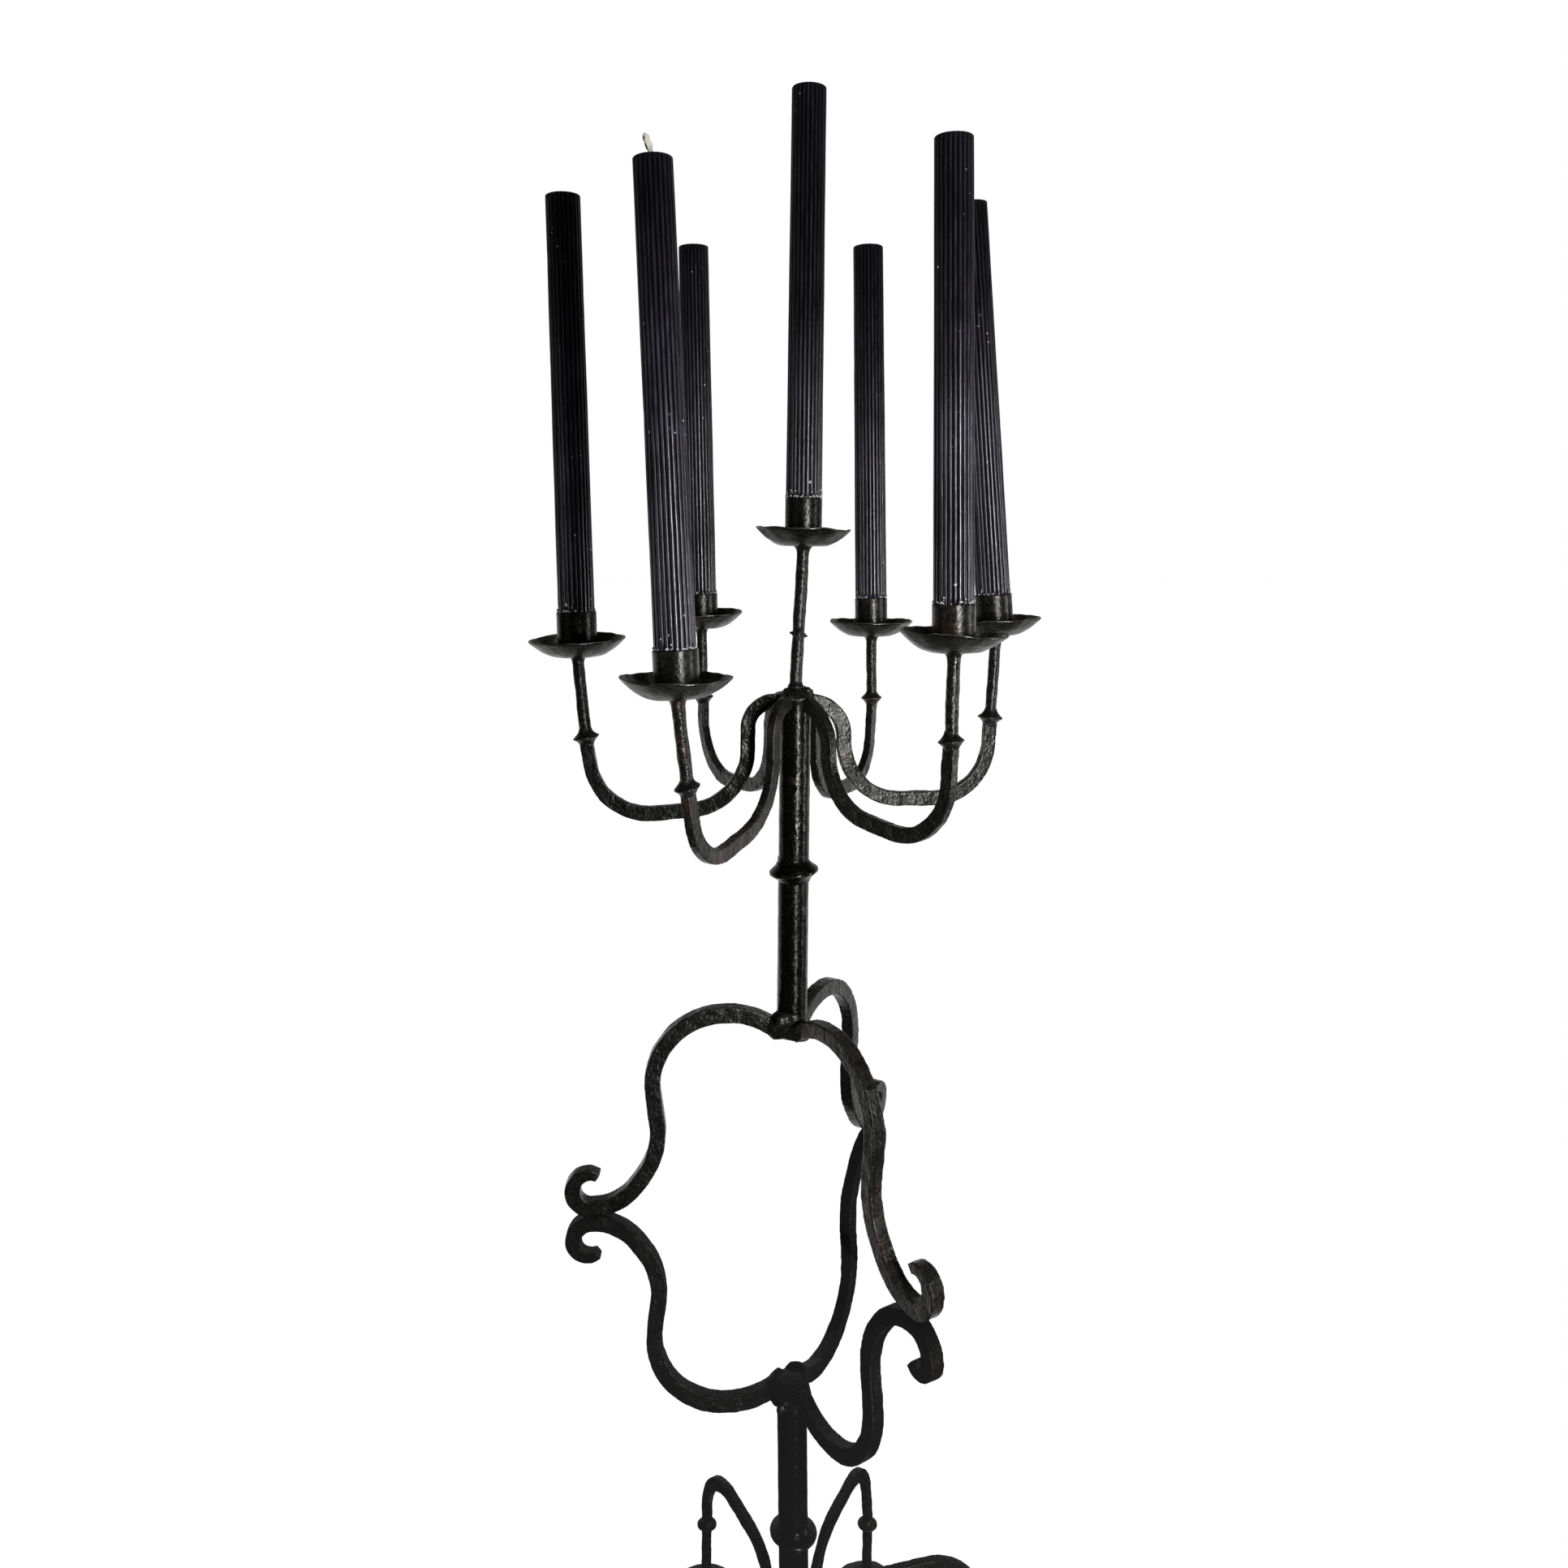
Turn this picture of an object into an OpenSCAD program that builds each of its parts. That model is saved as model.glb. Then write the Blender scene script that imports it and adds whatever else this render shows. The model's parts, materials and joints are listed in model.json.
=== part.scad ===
// Seven-light candelabrum of forged iron, standing on three scroll legs.
// Millimetres. The origin is on the stem's axis at table level, +Z is up and the left leg points to -X.
// Every bar is bent from a schedule of [straight, radius, turn, depth at its end], as a smith bends it.

/* [Stem] */
// Outer diameter of the stem tube
stem_d = 20; // [16:0.5:26]
// Wall of the stem tube
stem_wall = 2.5; // [1.5:0.1:4]
// Length of the stem tube
stem_length = 226.5; // [180:0.5:320]
// How far the stem tube reaches below the middle of the leg roots
stem_foot = 4.5; // [4:0.1:9]
// Widest diameter of the collar round the stem
collar_d = 31.5; // [28:0.5:38]
// Height of the collar's long flare, above its widest line
collar_rise = 9.5; // [6:0.5:14]
// Height of the collar's short flare, below its widest line
collar_fall = 5.5; // [3:0.5:8]
// Height of the collar's widest line above the lower end of the stem tube
collar_at = 109.5; // [40:0.5:150]
// Lean of the stem to the right, in degrees
stem_lean = 0.6; // [-2:0.1:2]

/* [Legs] */
// Directions of the left, right and rear leg round the stem, in degrees
leg_azimuth = [180, 299, 58.5]; // [0:0.5:360]
// Depth of a leg bar, in the plane of its bends
leg_depth = 10.5; // [8:0.5:13]
// Width of a leg bar, across the plane of its bends
leg_width = 9; // [6:0.5:12]
// Upward slope of a leg where it leaves the stem, in degrees
leg_slope = 32.5; // [20:0.5:45]
// Length of the straight at a leg's root
leg_root = 4.5; // [1:0.5:10]
// Radius of the arch near the stem
leg_arch_radius = 54.5; // [45:0.5:65]
// Turn of the arch near the stem, in degrees
leg_arch_turn = 48; // [40:1:60]
// Radius of the shoulder, where the arch turns down
leg_shoulder_radius = 46.5; // [38:0.5:55]
// Angle between the shank and the horizontal at its top, in degrees
leg_shank_angle = 97; // [92:0.5:102]
// Straight of the shank
leg_shank = 21; // [10:0.5:35]
// Radius of the knee, where the shank sweeps outward
leg_knee_radius = 49; // [35:0.5:60]
// Angle below the horizontal at which the shin runs down, in degrees
leg_shin_angle = 52; // [45:0.5:60]
// Straight of the shin
leg_shin = 7; // [2:0.5:15]
// Radius of the instep, where the leg levels out on the table
leg_instep_radius = 36.5; // [28:0.5:45]
// Radii of the scrolls at the toes
scroll_radius = [12.5, 15, 12.5]; // [11:0.25:16]
// Turns of the scrolls at the toes, in degrees
scroll_turn = [215, 220, 220]; // [180:5:240]
// How much tighter the scrolls are toward their tips, as shares of their radii
scroll_tighten = [0.85, 0.65, 0.8]; // [0.6:0.05:1]
// Depth of the bar at the tip of a scroll
scroll_tip = 5.5; // [3:0.5:8]
// How much is worn flat under each foot
foot_flat = 0.4; // [0.2:0.05:0.8]

/* [Arms] */
// Depth of an arm bar, in the plane of its bends
arm_depth = 9.5; // [8:0.5:12]
// Width of an arm bar, across the plane of its bends
arm_width = 5.5; // [4:0.5:8]
// Depth of an arm bar where it meets its knot
arm_neck = 8.5; // [6:0.5:9.5]
// Length of the straight at an arm's root
arm_root = 3; // [1:0.5:8]
// Radius of the slight bend under an arm's knot
arm_neck_radius = 30; // [15:1:60]
// Diameter of the round rod at the top of an arm
arm_rod_d = 7.6; // [6:0.2:9]
// Directions of the arms round the stem, in degrees
arm_azimuth = [9.4, 60.7, 116, 179.5, 239.4, 308]; // [0:0.1:360]
// Slopes of the arms below the horizontal where they leave the stem, in degrees
arm_root_dip = [10, 8, 1, 1, 4, 20]; // [0:1:25]
// Radii of the bends from the roots into the drops
arm_shoulder_radius = [24, 23, 21, 18, 18.5, 28.5]; // [15:0.5:30]
// Straights of the drops beside the stem
arm_drop = [3, 13.5, 14, 14, 14, 1.5]; // [1:0.5:20]
// Radii of the bends from the drops into the bellies
arm_inner_radius = [39.5, 35, 31.5, 39.5, 42, 38]; // [30:0.5:45]
// Slopes of the bellies below the horizontal, in degrees
arm_belly_dip = [1.5, 0.5, 4, 5.5, 10.5, 6]; // [-5:0.5:15]
// Length of the straight of a belly, which sets how far out the lights stand
arm_belly = 26; // [18:0.5:60]
// How much longer than that each arm's belly came out
arm_belly_more = [-1.5, 3.5, 3.5, -1.5, -0.5, -3]; // [-8:0.5:8]
// Radii of the bends from the bellies into the rises
arm_outer_radius = [37, 34, 42, 38, 32, 38.5]; // [25:0.5:45]
// Angles of the rises above the horizontal, in degrees
arm_rise_angle = [86, 84, 89, 80, 75, 87]; // [70:1:95]
// Straights of the rises
arm_rise = [14.5, 19.5, 7.5, 12.5, 18, 19.5]; // [5:0.5:30]
// Leans of the rods away from the stem, in degrees
arm_rod_lean = [3, -3, 4.5, 6, 12.5, 1]; // [-5:1:18]
// Lengths of the rods, from the knots' widest lines to the flares under the pans
arm_rod_length = [52, 43, 48, 49, 48.5, 47.5]; // [30:0.5:65]

/* [Knots] */
// Widest diameters of the arms' knots
knot_d = [16.5, 15, 15, 16.8, 14.4, 14.8]; // [13:0.1:20]
// Height of a knot's long flare, above its widest line
knot_rise = 5.5; // [4:0.5:9]
// Height of a knot's short flare, below its widest line
knot_fall = 4.2; // [3:0.1:6]
// Widest diameter of the centre rod's knot
centre_knot_d = 11.6; // [10.5:0.2:16]

/* [Centre rod] */
// Diameter of the centre rod
centre_rod_d = 8; // [6:0.2:10]
// Length of the centre rod, from the top of the stem to the flare under its pan
centre_rod_length = 92; // [60:0.5:150]
// Height of the centre knot's widest line above the top of the stem
centre_knot_at = 38; // [20:0.5:50]
// Diameter of the flared foot of the centre rod
centre_foot_d = 11; // [10.4:0.2:14]
// Lean of the centre rod against the stem, in degrees
centre_rod_lean = 2.6; // [-3:0.1:5]

/* [Drip pans and cups] */
// Rim diameter of a drip pan
pan_d = 61; // [45:0.5:80]
// Depth of a drip pan, from its underside to its rim
pan_depth = 11.5; // [7:0.5:18]
// Thickness of the sheet of a drip pan
pan_wall = 1; // [0.6:0.1:2]
// Inner diameters of the candle cups on the six arms and of the one in the middle
cup_bore = [23.2, 22.2, 23.2, 23.6, 23.6, 23, 22]; // [20:0.1:28]
// Wall of a candle cup
cup_wall = 0.8; // [0.6:0.1:2]
// Thickness of a candle cup's floor
cup_floor = 1.2; // [0.8:0.1:3]
// Heights of the candle cups on the six arms and of the one in the middle
cup_height = [26.5, 27, 24.5, 27.5, 25.5, 26, 29.5]; // [20:0.5:45]
// Diameter of the flare that carries a pan
flare_d = 12.5; // [10.6:0.5:16]
// Height of that flare
flare_height = 3.5; // [2:0.5:6]
// Diameter of the tenon that is riveted through a pan and its cup
tenon_d = 5; // [3:0.2:5.6]

/* [Candles] */
// Diameter of a candle over its ribs, at its top
candle_top_d = 21.4; // [14:0.1:24]
// Lengths of the candles on the six arms and of the one in the middle
candle_length = [281, 282.5, 276.5, 286.5, 286, 280.5, 284.5]; // [120:0.5:400]
// Number of ribs round a candle
candle_ribs = 24; // [12:1:36]
// Depth of the grooves between the ribs
rib_depth = 0.8; // [0.3:0.1:1.2]
// Leans of the candles away from the stem, in degrees
candle_lean_out = [-4.8, 0.2, 0, 1.8, 0.3, -0.6]; // [-5:0.1:5]
// Sideways leans of the candles, anticlockwise positive, in degrees
candle_lean_side = [0.2, 1.5, 1.7, 0, -3.2, -1]; // [-5:0.1:5]
// Lean of the centre candle, in degrees
centre_lean = 0.1; // [-3:0.1:3]
// Diameter of a wick
wick_d = 1.8; // [1:0.1:3]
// Diameter of the front left candle's wick where its cotton is frayed
wick_frayed_d = 3.3; // [1.8:0.1:5]
// How far the trimmed wicks stand above their candles
wick_stub = 2; // [1:0.1:4]
// Length of the front left candle's uncut wick above it
wick_long = 14.5; // [6:0.1:18]
// Lean of the long wick where it leaves the wax, and how far it curls, in degrees
wick_lean = 30; // [0:1:50]
wick_curl = 18; // [0:1:40]

/* [Fits] */
// Gap all round between pieces that are driven together
press_gap = 0.05; // [0.02:0.01:0.15]
// Gap between a candle and its cup's floor
candle_gap = 0.3; // [0.2:0.05:0.6]

/* [Hidden] */
$fn = 96;

IRON = "#1d1d1b";
WELD = "#2b2a28";
WAX = "#24222c";
COTTON = "#e4dfd0";

// The legs, by their place in the lists
LEG_LEFT = 0;
LEG_RIGHT = 1;
LEG_REAR = 2;
// The arms and the centre light, by their place in the lists
RIGHT = 0;
REAR_RIGHT = 1;
REAR_LEFT = 2;
LEFT = 3;
FRONT_LEFT = 4;
FRONT_RIGHT = 5;
CENTRE = 6;
// The turn between two points on a bend, in degrees
bend_step = 7;
// Points along a flare and along a pan's wall
flare_steps = 6;
pan_steps = 9;
// How steeply a pan's wall curls up
pan_curl = 1.7;
// The blunt edge of a collar or knot, as a share of its height
blunt = 0.14;
// Depth of the round plug at either end of the stem tube
plug_depth = 10;
// How far the hub plug's dome hangs below the stem tube
hub_dome = 1.6;
// Heading of a bar that rises straight up, in degrees
upright = 90;
// The weld round a leg's root is a cone: its radii inside the stem and at its tip,
// how far it starts inside the stem's wall and how far it reaches along the leg
leg_weld_r = 8.5;
leg_weld_tip_r = 6.7;
leg_weld_sunk = 7;
leg_weld_reach = 7;
// Radius of the knob of weld beside the left leg, its direction, and its centre above the leg's root
// and inside the stem's wall
knob_r = 4.5;
knob_azimuth = 227;
knob_rise = 8.7;
knob_sunk = 1.2;
// Radius of the weld over the stem's top
crown_weld_r = stem_d / 2 + 2.6;
// The crown weld's centre below the stem's top, its lower edge, and its flat under the centre rod
crown_weld_drop = 7.5;
crown_weld_skirt = 9;
crown_flat = sqrt(pow(crown_weld_r, 2) - pow(centre_foot_d / 2 + 0.2, 2)) - crown_weld_drop;
// How much thicker a rod is where it is bent
bend_swell = 0.4;
// How far a rod reaches down into the end of its flat bar
rod_lap = 0.8;
// How far a bar is let into the tube before it is coped to the tube's wall
cope = 2;
// A hair added to a cutting tool, so that it clears the face it cuts
clear = 0.5;

// A station on a bar's centreline is [distance out, height, heading in degrees, depth of the bar]
function ahead(at, length) = [at[0] + length * cos(at[2]), at[1] + length * sin(at[2]), at[2], at[3]];

// The station that lies a share of the way round a bend
function bent(at, radius, turn, depth, share = 1) =
    let (to = at[2] + turn * share, side = sign(turn) * radius)
    [
        at[0] + side * (sin(to) - sin(at[2])),
        at[1] + side * (cos(at[2]) - cos(to)),
        to,
        at[3] + (depth - at[3]) * share
    ];

// The station where a schedule ends, or where its first steps end
function end_of(schedule, at, steps, i = 0) =
    i == steps ? at
    : let (step = schedule[i])
        end_of(schedule, bent(ahead(at, step[0]), step[1], step[2], step[3]), steps, i + 1);

// Every station of a schedule
function stations(schedule, at, i = 0) =
    i == len(schedule) ? [at]
    : let (step = schedule[i], start = ahead(at, step[0]), parts = max(1, ceil(abs(step[2]) / bend_step)))
        concat(
            [at],
            [for (k = [0 : parts - 1])
                if (step[2] != 0 && (k > 0 || step[0] > 0))
                    bent(start, step[1], step[2], step[3], k / parts)],
            stations(schedule, bent(start, step[1], step[2], step[3]), i + 1)
        );

// A point beside a station, on the bar's upper or lower edge
function edge(at, side) = [at[0] - side * sin(at[2]) * at[3] / 2, at[1] + side * cos(at[2]) * at[3] / 2];

// A schedule whose first straight is lengthened, for a bar that is let into the tube
function let_in(schedule) =
    [for (i = [0 : len(schedule) - 1])
        i == 0 ? [schedule[0][0] + cope, schedule[0][1], schedule[0][2], schedule[0][3]] : schedule[i]];

// A leg, from the stem's wall to the tip of its scroll
function leg_steps(i) = [
    [leg_root, leg_arch_radius, -leg_arch_turn, leg_depth],
    [0, leg_shoulder_radius, leg_arch_turn - leg_slope - leg_shank_angle, leg_depth],
    [leg_shank, leg_knee_radius, leg_shank_angle - leg_shin_angle, leg_depth],
    [leg_shin, leg_instep_radius, leg_shin_angle, leg_depth],
    [0, scroll_radius[i], scroll_turn[i] * 0.45, leg_depth],
    [0, scroll_radius[i] * scroll_tighten[i], scroll_turn[i] * 0.55, scroll_tip]
];
// The leg's root height follows from how far its bends come down to the table
leg_fall = end_of(leg_steps(LEG_LEFT), [0, 0, leg_slope, leg_depth], 4)[1];
leg_root_z = leg_depth / 2 - foot_flat - leg_fall;
leg_start = [stem_d / 2, leg_root_z, leg_slope, leg_depth];
leg_foot = end_of(leg_steps(LEG_LEFT), leg_start, 4);

stem_bottom = leg_root_z - stem_foot;
stem_top = stem_bottom + stem_length;
collar_z = stem_bottom + collar_at;
arm_root_z = stem_top - arm_depth / 2;

// An arm's bar, from the stem's wall to its knot
function arm_steps(i) = [
    [arm_root, arm_shoulder_radius[i], arm_root_dip[i] - upright, arm_depth],
    [arm_drop[i], arm_inner_radius[i], upright - arm_belly_dip[i], arm_depth],
    [arm_belly + arm_belly_more[i], arm_outer_radius[i], arm_rise_angle[i] + arm_belly_dip[i], arm_neck],
    [arm_rise[i], arm_neck_radius, upright - arm_rod_lean[i] - arm_rise_angle[i], arm_neck]
];
function arm_start(i) = [stem_d / 2, arm_root_z, -arm_root_dip[i], arm_depth];
function arm_end(i) = let (steps = arm_steps(i)) end_of(steps, arm_start(i), len(steps));
// The station at a knot's widest line, and the one at the foot of the flare under a pan
function knot_station(i) = ahead(arm_end(i), knot_fall);
function flare_station(i) = ahead(knot_station(i), arm_rod_length[i]);
// Where the centre rod leans away, above the flare of its foot
centre_foot_z = stem_top + crown_flat;
centre_bend_z = centre_foot_z + flare_height;

// Where the cup's floor and the candle lie above the pan's underside
cup_z = pan_wall;
candle_z = cup_z + cup_floor + candle_gap;
function cup_d(i) = cup_bore[i] + 2 * cup_wall;
// The flat middle of a pan, on which the cup is seated
pan_seat_r = max(cup_bore) / 2 + cup_wall + 0.2;
tenon_length = pan_wall + cup_floor;

// Leans what stands on the hub with the stem, about the middle of the stem's foot
module on_mast() {
    translate([0, 0, stem_bottom])
        rotate([0, stem_lean, 0])
            translate([0, 0, -stem_bottom])
                children();
}

// Turns a leg's or arm's plane round the stem
module round_stem(azimuth) {
    rotate([0, 0, azimuth])
        children();
}

// Puts its children on a station of an arm's plane, with +Z along the bar
module on_station(at) {
    translate([at[0], 0, at[1]])
        rotate([0, upright - at[2], 0])
            children();
}

// A bar bent in the XZ plane, drawn as the outline between its upper and lower edges
module bent_bar(schedule, start, width) {
    path = stations(schedule, start);
    upper = [for (at = path) edge(at, 1)];
    lower = [for (i = [len(path) - 1 : -1 : 0]) edge(path[i], -1)];
    rotate([90, 0, 0])
        linear_extrude(height = width, center = true)
            polygon(concat(upper, lower));
}

// A bent bar that starts inside the wall of the stem tube
module let_in_bar(schedule, start, width) {
    bent_bar(let_in(schedule), ahead(start, -cope), width);
}

// What the stem tube takes up, to cope and trim the pieces welded to it
module stem_core() {
    on_mast()
        cylinder(h = stem_top + crown_weld_r, d = stem_d);
}

// The outline points of a flare that swells from one radius to another over a height
function flare(from_r, to_r, from_z, to_z) =
    [for (k = [0 : flare_steps])
        let (share = k / flare_steps)
        [from_r + (to_r - from_r) * pow(share, 2), from_z + (to_z - from_z) * share]];

// A ring with a long flare above its widest line and a short one below, bored for what it is driven on
module flared_ring(bore, foot_d, wide_d, rise, fall) {
    rim = blunt * (rise + fall) / 2;
    rotate_extrude()
        polygon(concat(
            [[bore / 2, -fall]],
            flare(foot_d / 2, wide_d / 2, -fall, -rim),
            flare(wide_d / 2, bore / 2 + 0.4, rim, rise),
            [[bore / 2, rise]]
        ));
}

// The end of a rod under a pan, in one turned piece: a rounded foot where the rod is bent, a flare,
// and the tenon that goes through pan and cup
module rod_top(rod_d) {
    bend_r = (rod_d + bend_swell) / 2;
    rotate_extrude()
        polygon(concat(
            [for (turn = [-90 : 22.5 : -22.5]) [bend_r * cos(turn), bend_r * sin(turn)]],
            flare(bend_r, flare_d / 2, 0, flare_height),
            [
                [tenon_d / 2, flare_height],
                [tenon_d / 2, flare_height + tenon_length],
                [0, flare_height + tenon_length]
            ]
        ));
}

// The round tube that carries everything
module stem_tube() {
    color(IRON)
        on_mast()
            translate([0, 0, stem_bottom])
                difference() {
                    cylinder(h = stem_length, d = stem_d);
                    translate([0, 0, -clear])
                        cylinder(h = stem_length + 2 * clear, d = stem_d - 2 * stem_wall);
                }
}

// The collar driven on the stem, with the fine bead under it
module stem_collar() {
    color(IRON)
        on_mast()
            translate([0, 0, collar_z])
                flared_ring(stem_d + 2 * press_gap, stem_d + 1.6, collar_d, collar_rise, collar_fall);
}

// The domed plug that closes the foot of the stem
module hub_plug() {
    dome_r = (pow(stem_d / 2, 2) + pow(hub_dome, 2)) / (2 * hub_dome);
    color(WELD)
        on_mast()
            translate([0, 0, stem_bottom]) {
                intersection() {
                    translate([0, 0, dome_r - hub_dome])
                        sphere(r = dome_r);
                    translate([0, 0, -hub_dome])
                        cylinder(h = hub_dome, d = stem_d);
                }
                cylinder(h = plug_depth, d = stem_d - 2 * stem_wall - 2 * press_gap);
            }
}

// One leg, coped to the stem and worn flat where it stands
module leg(i) {
    reach = leg_foot[0] + 3 * scroll_radius[i];
    color(IRON)
        difference() {
            round_stem(leg_azimuth[i])
                difference() {
                    let_in_bar(leg_steps(i), leg_start, leg_width);
                    translate([0, -leg_width, -leg_depth])
                        cube([reach, 2 * leg_width, leg_depth]);
                }
            stem_core();
        }
}

// The beads of weld round the three leg roots, with the knob where the last bead ended
module leg_welds() {
    color(WELD)
        for (i = [LEG_LEFT : LEG_REAR])
            difference() {
                union() {
                    round_stem(leg_azimuth[i])
                        on_station(ahead(leg_start, -leg_weld_sunk))
                            cylinder(
                                h = leg_weld_sunk + leg_weld_reach,
                                r1 = leg_weld_r,
                                r2 = leg_weld_tip_r
                            );
                    if (i == LEG_LEFT)
                        round_stem(knob_azimuth)
                            translate([stem_d / 2 - knob_sunk, 0, leg_root_z + knob_rise])
                                sphere(r = knob_r);
                }
                round_stem(leg_azimuth[i])
                    let_in_bar(leg_steps(i), leg_start, leg_width);
                stem_core();
            }
}

// The plug in the top of the stem, bored for the centre rod
module crown_plug() {
    color(WELD)
        on_mast()
            translate([0, 0, stem_top - plug_depth])
                difference() {
                    cylinder(h = plug_depth, d = stem_d - 2 * stem_wall - 2 * press_gap);
                    translate([0, 0, -clear])
                        cylinder(h = plug_depth + 2 * clear, d = centre_rod_d + 2 * press_gap);
                }
}

// The weld that domes over the stem's top and the six arm roots
module crown_weld() {
    color(WELD)
        on_mast()
            difference() {
                translate([0, 0, stem_top - crown_weld_drop])
                    sphere(r = crown_weld_r);
                translate([0, 0, stem_top + crown_flat])
                    cylinder(h = crown_weld_r, r = crown_weld_r);
                translate([0, 0, stem_top - crown_weld_skirt - 2 * crown_weld_r])
                    cylinder(h = 2 * crown_weld_r, r = 2 * crown_weld_r);
                translate([0, 0, stem_top - 3 * crown_weld_r])
                    cylinder(h = 3 * crown_weld_r, d = stem_d);
                cylinder(h = 2 * stem_top, d = centre_rod_d + 2 * press_gap);
                for (i = [RIGHT : FRONT_RIGHT])
                    round_stem(arm_azimuth[i])
                        let_in_bar(arm_steps(i), arm_start(i), arm_width);
            }
}

// One arm: a flat bar forged round above its shoulder, with the flare and tenon that carry its light
module arm(i) {
    color(IRON)
        on_mast() {
            difference() {
                round_stem(arm_azimuth[i])
                    let_in_bar(arm_steps(i), arm_start(i), arm_width);
                translate([0, 0, stem_top - 3 * arm_depth])
                    cylinder(h = 4 * arm_depth, d = stem_d);
            }
            round_stem(arm_azimuth[i])
                on_station(arm_end(i))
                    translate([0, 0, -rod_lap])
                        cylinder(h = rod_lap + knot_fall + arm_rod_length[i], d = arm_rod_d);
            on_flare(i)
                rod_top(arm_rod_d);
        }
}

// The knot driven down on an arm's shoulder
module arm_knot(i) {
    color(IRON)
        on_mast()
            round_stem(arm_azimuth[i])
                on_station(knot_station(i))
                    flared_ring(arm_rod_d + 2 * press_gap, arm_neck + 1, knot_d[i], knot_rise, knot_fall);
}

// Puts its children on the leaning part of the centre rod, which starts above its foot
module on_centre_rod() {
    translate([0, 0, centre_bend_z])
        rotate([0, centre_rod_lean, 0])
            children();
}

// The rod in the middle, with its lower end in the crown plug
module centre_rod() {
    color(IRON)
        on_mast() {
            translate([0, 0, stem_top - plug_depth])
                cylinder(h = plug_depth + centre_bend_z - stem_top, d = centre_rod_d);
            translate([0, 0, centre_foot_z])
                rotate_extrude()
                    polygon(concat(
                        [[0, 0]],
                        flare(centre_foot_d / 2, centre_rod_d / 2, 0, flare_height),
                        [[0, flare_height]]
                    ));
            translate([0, 0, centre_bend_z])
                sphere(d = centre_rod_d + bend_swell);
            on_centre_rod()
                cylinder(h = centre_rod_length + stem_top - centre_bend_z, d = centre_rod_d);
            on_flare(CENTRE)
                rod_top(centre_rod_d);
        }
}

// The knot on the centre rod
module centre_knot() {
    color(IRON)
        on_mast()
            on_centre_rod()
                translate([0, 0, stem_top + centre_knot_at - centre_bend_z])
                    flared_ring(centre_rod_d + 2 * press_gap, centre_rod_d + 1, centre_knot_d,
                        knot_rise - 1, knot_fall - 0.8);
}

// Puts its children at the foot of the flare under a pan, with +Z up the candle
module on_flare(i) {
    if (i == CENTRE) {
        on_centre_rod()
            translate([0, 0, centre_rod_length + stem_top - centre_bend_z])
                rotate([0, centre_lean - centre_rod_lean, 0])
                    children();
    } else {
        at = flare_station(i);
        round_stem(arm_azimuth[i])
            translate([at[0], 0, at[1]])
                rotate([-candle_lean_side[i], candle_lean_out[i], 0])
                    children();
    }
}

// Puts its children on the underside of a pan
module on_light(i) {
    on_mast()
        on_flare(i)
            translate([0, 0, flare_height])
                children();
}

// A hammered dish with a flat middle and a hole for the tenon
module pan(i) {
    function curl(r) = pan_depth * pow(max(0, (r - pan_seat_r) / (pan_d / 2 - pan_seat_r)), pan_curl);
    radii = [for (k = [0 : pan_steps]) pan_seat_r + (pan_d / 2 - pan_seat_r) * k / pan_steps];
    fall = 1 - pan_wall / pan_depth;
    hole_r = tenon_d / 2 + press_gap;
    color(IRON)
        on_light(i)
            rotate_extrude()
                polygon(concat(
                    [[hole_r, 0]],
                    [for (r = radii) [r, curl(r) * fall]],
                    [for (k = [pan_steps : -1 : 0]) [radii[k], curl(radii[k]) * fall + pan_wall]],
                    [[hole_r, pan_wall]]
                ));
}

// A straight cup with a floor, riveted down on its pan
module cup(i) {
    color(IRON)
        on_light(i)
            translate([0, 0, cup_z])
                difference() {
                    cylinder(h = cup_height[i], d = cup_d(i));
                    translate([0, 0, cup_floor])
                        cylinder(h = cup_height[i], d = cup_bore[i]);
                    translate([0, 0, -clear])
                        cylinder(h = cup_floor + 2 * clear, d = tenon_d + 2 * press_gap);
                }
}

// The outline of a ribbed candle: three points on each rib and one in the groove beside it
function ribbed(d) =
    [for (k = [0 : candle_ribs - 1])
        each [for (point = [[0, 1], [0.14, 0], [0.5, 0], [0.86, 0]])
            let (r = d / 2 - rib_depth * (point[1] > 0 ? 1 : (point[0] == 0.5 ? 0 : 0.2)),
                turn = 360 * (k + point[0]) / candle_ribs)
            [r * cos(turn), r * sin(turn)]]];

// A tapered candle with ribs down its length and a hole for its wick
module candle(i) {
    foot_d = cup_bore[i] - 2 * candle_gap;
    color(WAX)
        on_light(i)
            translate([0, 0, candle_z])
                difference() {
                    linear_extrude(height = candle_length[i], scale = candle_top_d / foot_d)
                        polygon(ribbed(foot_d));
                    translate([0, 0, -clear])
                        cylinder(h = candle_length[i] + 2 * clear, d = wick_d + 2 * press_gap);
                }
}

// A wick down the whole candle, trimmed short or left long and frayed
module wick(i) {
    color(COTTON)
        on_light(i)
            translate([0, 0, candle_z])
                if (i == FRONT_LEFT) {
                    cylinder(h = candle_length[i], d = wick_d);
                    translate([0, 0, candle_length[i]])
                        sphere(d = wick_d);
                    rotate([0, 0, -arm_azimuth[i]])
                        bent_bar(
                            [
                                [wick_long * 0.25, wick_long * 0.8, -wick_curl, wick_d * 1.2],
                                [wick_long * 0.18, wick_long * 0.8, wick_curl / 3, wick_frayed_d],
                                [wick_long * 0.22, wick_long * 0.8, 0, wick_d]
                            ],
                            [0, candle_length[i] + wick_d * 0.15, upright + wick_lean, wick_d],
                            wick_d * 0.9
                        );
                } else {
                    cylinder(h = candle_length[i] + wick_stub, d = wick_d);
                }
}

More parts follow.
